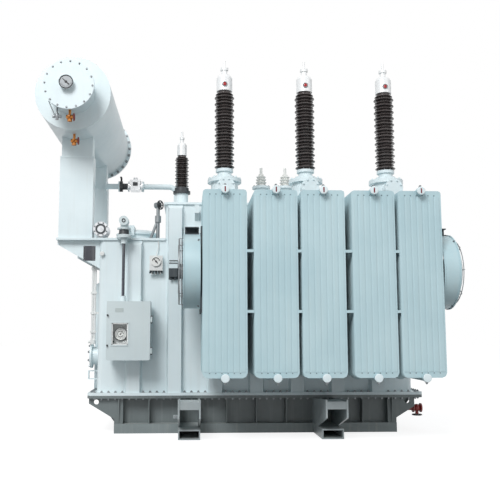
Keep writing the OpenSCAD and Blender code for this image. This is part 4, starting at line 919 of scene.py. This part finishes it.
# %% Hinge caps and crank knob
knobs = bmesh.new()
for z in (1.0642, 1.4591):
    for level, way in ((z + 0.036, UP), (z - 0.036, DOWN)):
        turned(knobs, at(-1.364, -1.306, level), way,
               ((0, 0), (0.0118, 0), (0.0118, 0.008), (0.008, 0.014), (0, 0.016)), 16)
turned(knobs, at(-1.674, -1.215, 1.223), FRONT,
       ((0, 0), (0.010, 0), (0.010, 0.012), (0.020, 0.016), (0.022, 0.026), (0.017, 0.034), (0, 0.036)), 20)
BUTTON_PROFILE = ((0, 0), (0.010, 0), (0.010, 0.005), (0.006, 0.007), (0, 0.007))
turned(knobs, at(-1.850, -1.215, 1.180), FRONT, BUTTON_PROFILE, 14)
piece("cabinet_knobs", knobs, blackened_and_shade, "transformer")

# %% [markdown]
# ## Small fittings on the tank and the bushings
# A bare plate hangs on the gusset under the deck. A thin capillary rises from the thermometer, whose cables
# leave it through five glands, and a white knob sits on the wall. Each tall bushing has a red sight glass
# in its head, the relay has a window, and dark rings lie on the deck valve, the gearbox and the neutral
# turret. All of them are bent tubes, plates and turned shapes, because a few faces then give them their
# true section.

# %% Capillary, glands, knob and bare plate
glands = bmesh.new()
for step in range(-2, 3):
    way = (DOWN + RIGHT * 0.22 * step).normalized()
    turned(glands, at(-1.328 + 0.034 * step, -0.990, 2.112), way,
           ((0, 0), (0.015, 0), (0.015, 0.016), (0.011, 0.020), (0.011, 0.040), (0, 0.043)), 12)
piece("cable_glands", glands, slate_and_shade, "transformer")
fittings = bmesh.new()
capillary_path = [at(-1.330, -0.985, 2.305), at(-1.318, -0.960, 2.360), at(-1.298, -0.945, 2.440),
                  at(-1.306, -0.936, 2.535)]
tube(fittings, bend(capillary_path, 0.03), 0.006, 8)
turned(fittings, at(-2.048, -0.924, 2.338), FRONT,
       ((0, 0), (0.014, 0), (0.014, 0.014), (0.030, 0.018), (0.032, 0.034), (0.026, 0.042), (0, 0.044)), 24)
piece("capillary_and_knob", fittings, finish["pale_plastic"], "transformer")
bare = bmesh.new()
plate(bare, at(-2.229, -0.865, 2.352), RIGHT, UP, 0.160, 0.200, 0.003, 0.004)
piece("gusset_plate", bare, plate_grey, "transformer")
screws = [(at(x, -0.868, z), FRONT, UP, 0.010) for x in (-2.299, -2.159) for z in (2.262, 2.442)]
copies("plate_screws", DOT, screws, zinc_and_shade, "transformer")

# %% [markdown]
# The two brass valves under the conservator are worked by small red handwheels, and a pale valve with a
# thin tube hangs at the chamber's lower left. The pillars carry a thin welded seam strip, the couplings at
# both ends of the drive shaft wear pale sleeves, and a white plate held by two dark clamps covers the upper
# half of the junction box.

# %% Handwheels, chamber valve, seam strips, sleeves and clamp plate
wheels = bmesh.new()
WHEEL_RIM = ((0.044, -0.006), (0.050, -0.006), (0.053, 0), (0.050, 0.006), (0.044, 0.006), (0.041, 0))
WHEEL_HUB = ((0, 0), (0.012, 0), (0.012, 0.022), (0.008, 0.026), (0, 0.026))
for y, z in ((-1.575, 4.015), (-1.190, 3.810)):
    hub = at(-2.361, y, z)
    ring_of(wheels, hub, RIGHT, WHEEL_RIM, 28)
    turned(wheels, hub - RIGHT * 0.014, RIGHT, WHEEL_HUB, 14)
    for angle in (30, 90, 150):
        arm = BACK * math.cos(math.radians(angle)) + UP * math.sin(math.radians(angle))
        tube(wheels, [hub - arm * 0.046, hub + arm * 0.046], 0.004, 8)
piece("valve_handwheels", wheels, finish["red_paint"], "transformer")
drain = bmesh.new()
turned(drain, at(-2.570, -1.600, 4.155), DOWN,
       ((0, 0), (0.011, 0), (0.011, 0.100), (0.022, 0.106), (0.026, 0.130), (0.026, 0.160), (0.018, 0.172),
        (0.018, 0.190), (0, 0.192)), 18)
turned(drain, at(-2.625, -1.600, 4.010), RIGHT,
       ((0, 0), (0.020, 0), (0.022, 0.006), (0.022, 0.020), (0.014, 0.026), (0.014, 0.084), (0.022, 0.090),
        (0.022, 0.104), (0.020, 0.110), (0, 0.110)), 18)
drain_path = [at(-2.657, -1.716, 4.171), at(-2.640, -1.650, 4.120), at(-2.600, -1.605, 4.030)]
tube(drain, bend(drain_path, 0.03), 0.006, 8)
piece("chamber_valve", drain, zinc_and_shade, "transformer")
strips = bmesh.new()
for side, facing in SIDES:
    plate(strips, at(-2.415, side * 0.925, 3.655), UP.cross(facing), UP, 0.440, 0.022, 0.005, 0.003)
SHAFT_X = -1.745
SHAFT_Y = -1.150
for low, high in ((2.446, 2.522), (1.690, 1.764)):
    tall = high - low
    sleeve = ((0.033, 0), (0.037, 0.002), (0.037, tall - 0.002), (0.033, tall))
    ring_of(strips, at(SHAFT_X, SHAFT_Y, low), UP, sleeve, 28)
box_low, box_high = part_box("junction_box")
box_middle = (box_low + box_high) / 2
plate(strips, Vector((box_middle.x, box_low.y, box_high.z - 0.060)), RIGHT, UP, 0.118, 0.116, 0.004, 0.004)
piece("strips_and_sleeves", strips, finish["painted_steel"], "transformer")
clamps = bmesh.new()
for drop in (0.018, 0.050):
    clamp_place = Vector((box_middle.x, box_low.y - 0.004, box_high.z - drop))
    plate(clamps, clamp_place, RIGHT, UP, 0.112, 0.013, 0.005, 0.003)
piece("box_clamps", clamps, blackened_and_shade, "transformer")

# %% [markdown]
# A sight glass is a low lens in a turned collar. The dark rings have a hollow middle, so their profiles are
# closed and turned clear of the axis. The tall dark ring on the gearbox neck is partly painted shade: it
# stands for the bolts and the dark gaps between the gearbox flanges.

# %% Sight glasses, relay window and dark rings
relay_low, relay_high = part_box("gas_relay")
relay_middle = (relay_low + relay_high) / 2
glasses = bmesh.new()
collars = bmesh.new()
LENS = ((0, -0.004), (0.026, -0.004), (0.026, 0.004), (0.020, 0.009), (0, 0.011))
COLLAR = ((0.025, -0.006), (0.037, -0.006), (0.037, 0.006), (0.034, 0.009), (0.027, 0.009), (0.025, 0.006))
for x in HV_XS:
    window = at(x, -0.762, 4.780)
    turned(glasses, window, FRONT, LENS, 24)
    ring_of(collars, window, FRONT, COLLAR, 28)
piece("sight_glasses", glasses, warm_red, "transformer")
piece("sight_collars", collars, zinc_and_shade, "transformer")
discs = bmesh.new()
ring_of(discs, DECK_VALVE, FRONT,
        ((0.045, 0), (0.070, 0), (0.070, 0.005), (0.066, 0.008), (0.049, 0.008), (0.045, 0.005)), 36)
ring_of(discs, at(SHAFT_X, -1.230, 2.745), FRONT,
        ((0.014, 0), (0.026, 0), (0.026, 0.005), (0.023, 0.008), (0.017, 0.008), (0.014, 0.005)), 28)
# The gearbox neck ring is partly painted shade for the gaps between the gearbox flanges.
ring_of(discs, at(SHAFT_X, SHAFT_Y, 2.567), UP,
        ((0.057, 0), (0.068, 0.002), (0.063, 0.064), (0.055, 0.066)), 36)
ring_of(discs, at(-0.997, HV_Y, 3.214), UP,
        ((0.086, 0), (0.120, 0.001), (0.120, 0.036), (0.100, 0.040), (0.098, 0.084), (0.076, 0.085)), 36)
plate(discs, Vector((relay_middle.x, relay_low.y, relay_middle.z)), RIGHT, UP, 0.070, 0.050, 0.006, 0.008)
piece("dark_discs", discs, blackened_and_shade, "transformer")

# %% [markdown]
# ## Camera, floor and light
# The camera stands at about head height, a little to the left of the middle. The floor is pale and keeps
# the shadow, while the world behind is white to the camera and to reflections. A soft lamp stands at the
# front left, a weak one fills from the right, and the rest of the light comes from all round.

# %% Camera
scene = bpy.context.scene
camera_data = bpy.data.cameras.new("camera")
camera_data.sensor_width = 36.0
camera_data.lens = 50.4
camera_data.shift_x = 0.06
camera = bpy.data.objects.new("camera", camera_data)
camera.location = at(-0.90, -10.2805, 1.2825)
camera.rotation_euler = (math.radians(96.8), 0, math.radians(-2.6))
bpy.context.collection.objects.link(camera)
scene.camera = camera
scene.view_settings.view_transform = "Standard"

# %% Floor, world and lamp


def seen_directly(tree):
    """1 for rays of the camera, of reflections and of glass, 0 for rays that carry light."""
    rays = tree.nodes.new("ShaderNodeLightPath")
    total = rays.outputs["Is Camera Ray"]
    for kind in ("Is Glossy Ray", "Is Transmission Ray"):
        most = tree.nodes.new("ShaderNodeMath")
        most.operation = "MAXIMUM"
        tree.links.new(total, most.inputs[0])
        tree.links.new(rays.outputs[kind], most.inputs[1])
        total = most.outputs["Value"]
    return total


floor_mesh = bpy.data.meshes.new("floor")
floor_half = 60.0
floor_corners = [(-floor_half, -floor_half, 0), (floor_half, -floor_half, 0),
                 (floor_half, floor_half, 0), (-floor_half, floor_half, 0)]
floor_mesh.from_pydata(floor_corners, [], [(0, 1, 2, 3)])
floor = bpy.data.objects.new("floor", floor_mesh)
bpy.context.collection.objects.link(floor)
floor_paint = bpy.data.materials.new("pale floor")
floor_paint.use_nodes = True
floor_tree = floor_paint.node_tree
floor_tree.nodes.remove(floor_tree.nodes["Principled BSDF"])
matt = floor_tree.nodes.new("ShaderNodeBsdfDiffuse")
matt.inputs["Color"].default_value = (0.34, 0.34, 0.34, 1)
glow = floor_tree.nodes.new("ShaderNodeEmission")
lift = floor_tree.nodes.new("ShaderNodeMath")
lift.operation = "MULTIPLY"
lift.inputs[1].default_value = 0.84
floor_tree.links.new(seen_directly(floor_tree), lift.inputs[0])
floor_tree.links.new(lift.outputs["Value"], glow.inputs["Strength"])
both = floor_tree.nodes.new("ShaderNodeAddShader")
floor_tree.links.new(matt.outputs["BSDF"], both.inputs[0])
floor_tree.links.new(glow.outputs["Emission"], both.inputs[1])
floor_tree.links.new(both.outputs["Shader"], floor_tree.nodes["Material Output"].inputs["Surface"])
floor_mesh.materials.append(floor_paint)

world = bpy.data.worlds.new("studio")
scene.world = world
world.use_nodes = True
world_tree = world.node_tree
soft = world_tree.nodes["Background"]
soft.inputs["Color"].default_value = (0.96, 0.98, 1.0, 1)
soft.inputs["Strength"].default_value = 0.50
white = world_tree.nodes.new("ShaderNodeBackground")
white.inputs["Color"].default_value = (1, 1, 1, 1)
white.inputs["Strength"].default_value = 1.0
pick = world_tree.nodes.new("ShaderNodeMixShader")
world_tree.links.new(seen_directly(world_tree), pick.inputs["Fac"])
world_tree.links.new(soft.outputs["Background"], pick.inputs[1])
world_tree.links.new(white.outputs["Background"], pick.inputs[2])
world_tree.links.new(pick.outputs["Shader"], world_tree.nodes["World Output"].inputs["Surface"])


def soft_lamp(name, place, size, energy):
    data = bpy.data.lights.new(name, "AREA")
    data.shape = "SQUARE"
    data.size = size
    data.energy = energy
    lamp = bpy.data.objects.new(name, data)
    lamp.location = place
    aim = Vector((0.0, 0.0, 1.8)) - lamp.location
    lamp.rotation_euler = aim.to_track_quat("-Z", "Y").to_euler()
    bpy.context.collection.objects.link(lamp)


soft_lamp("main lamp", (-8.0, -18.2, 17.5), 9.6, 4250.0)
soft_lamp("fill lamp", (10.0, -9.0, 8.0), 9.0, 200.0)
print("camera, floor, world and two lamps are set")
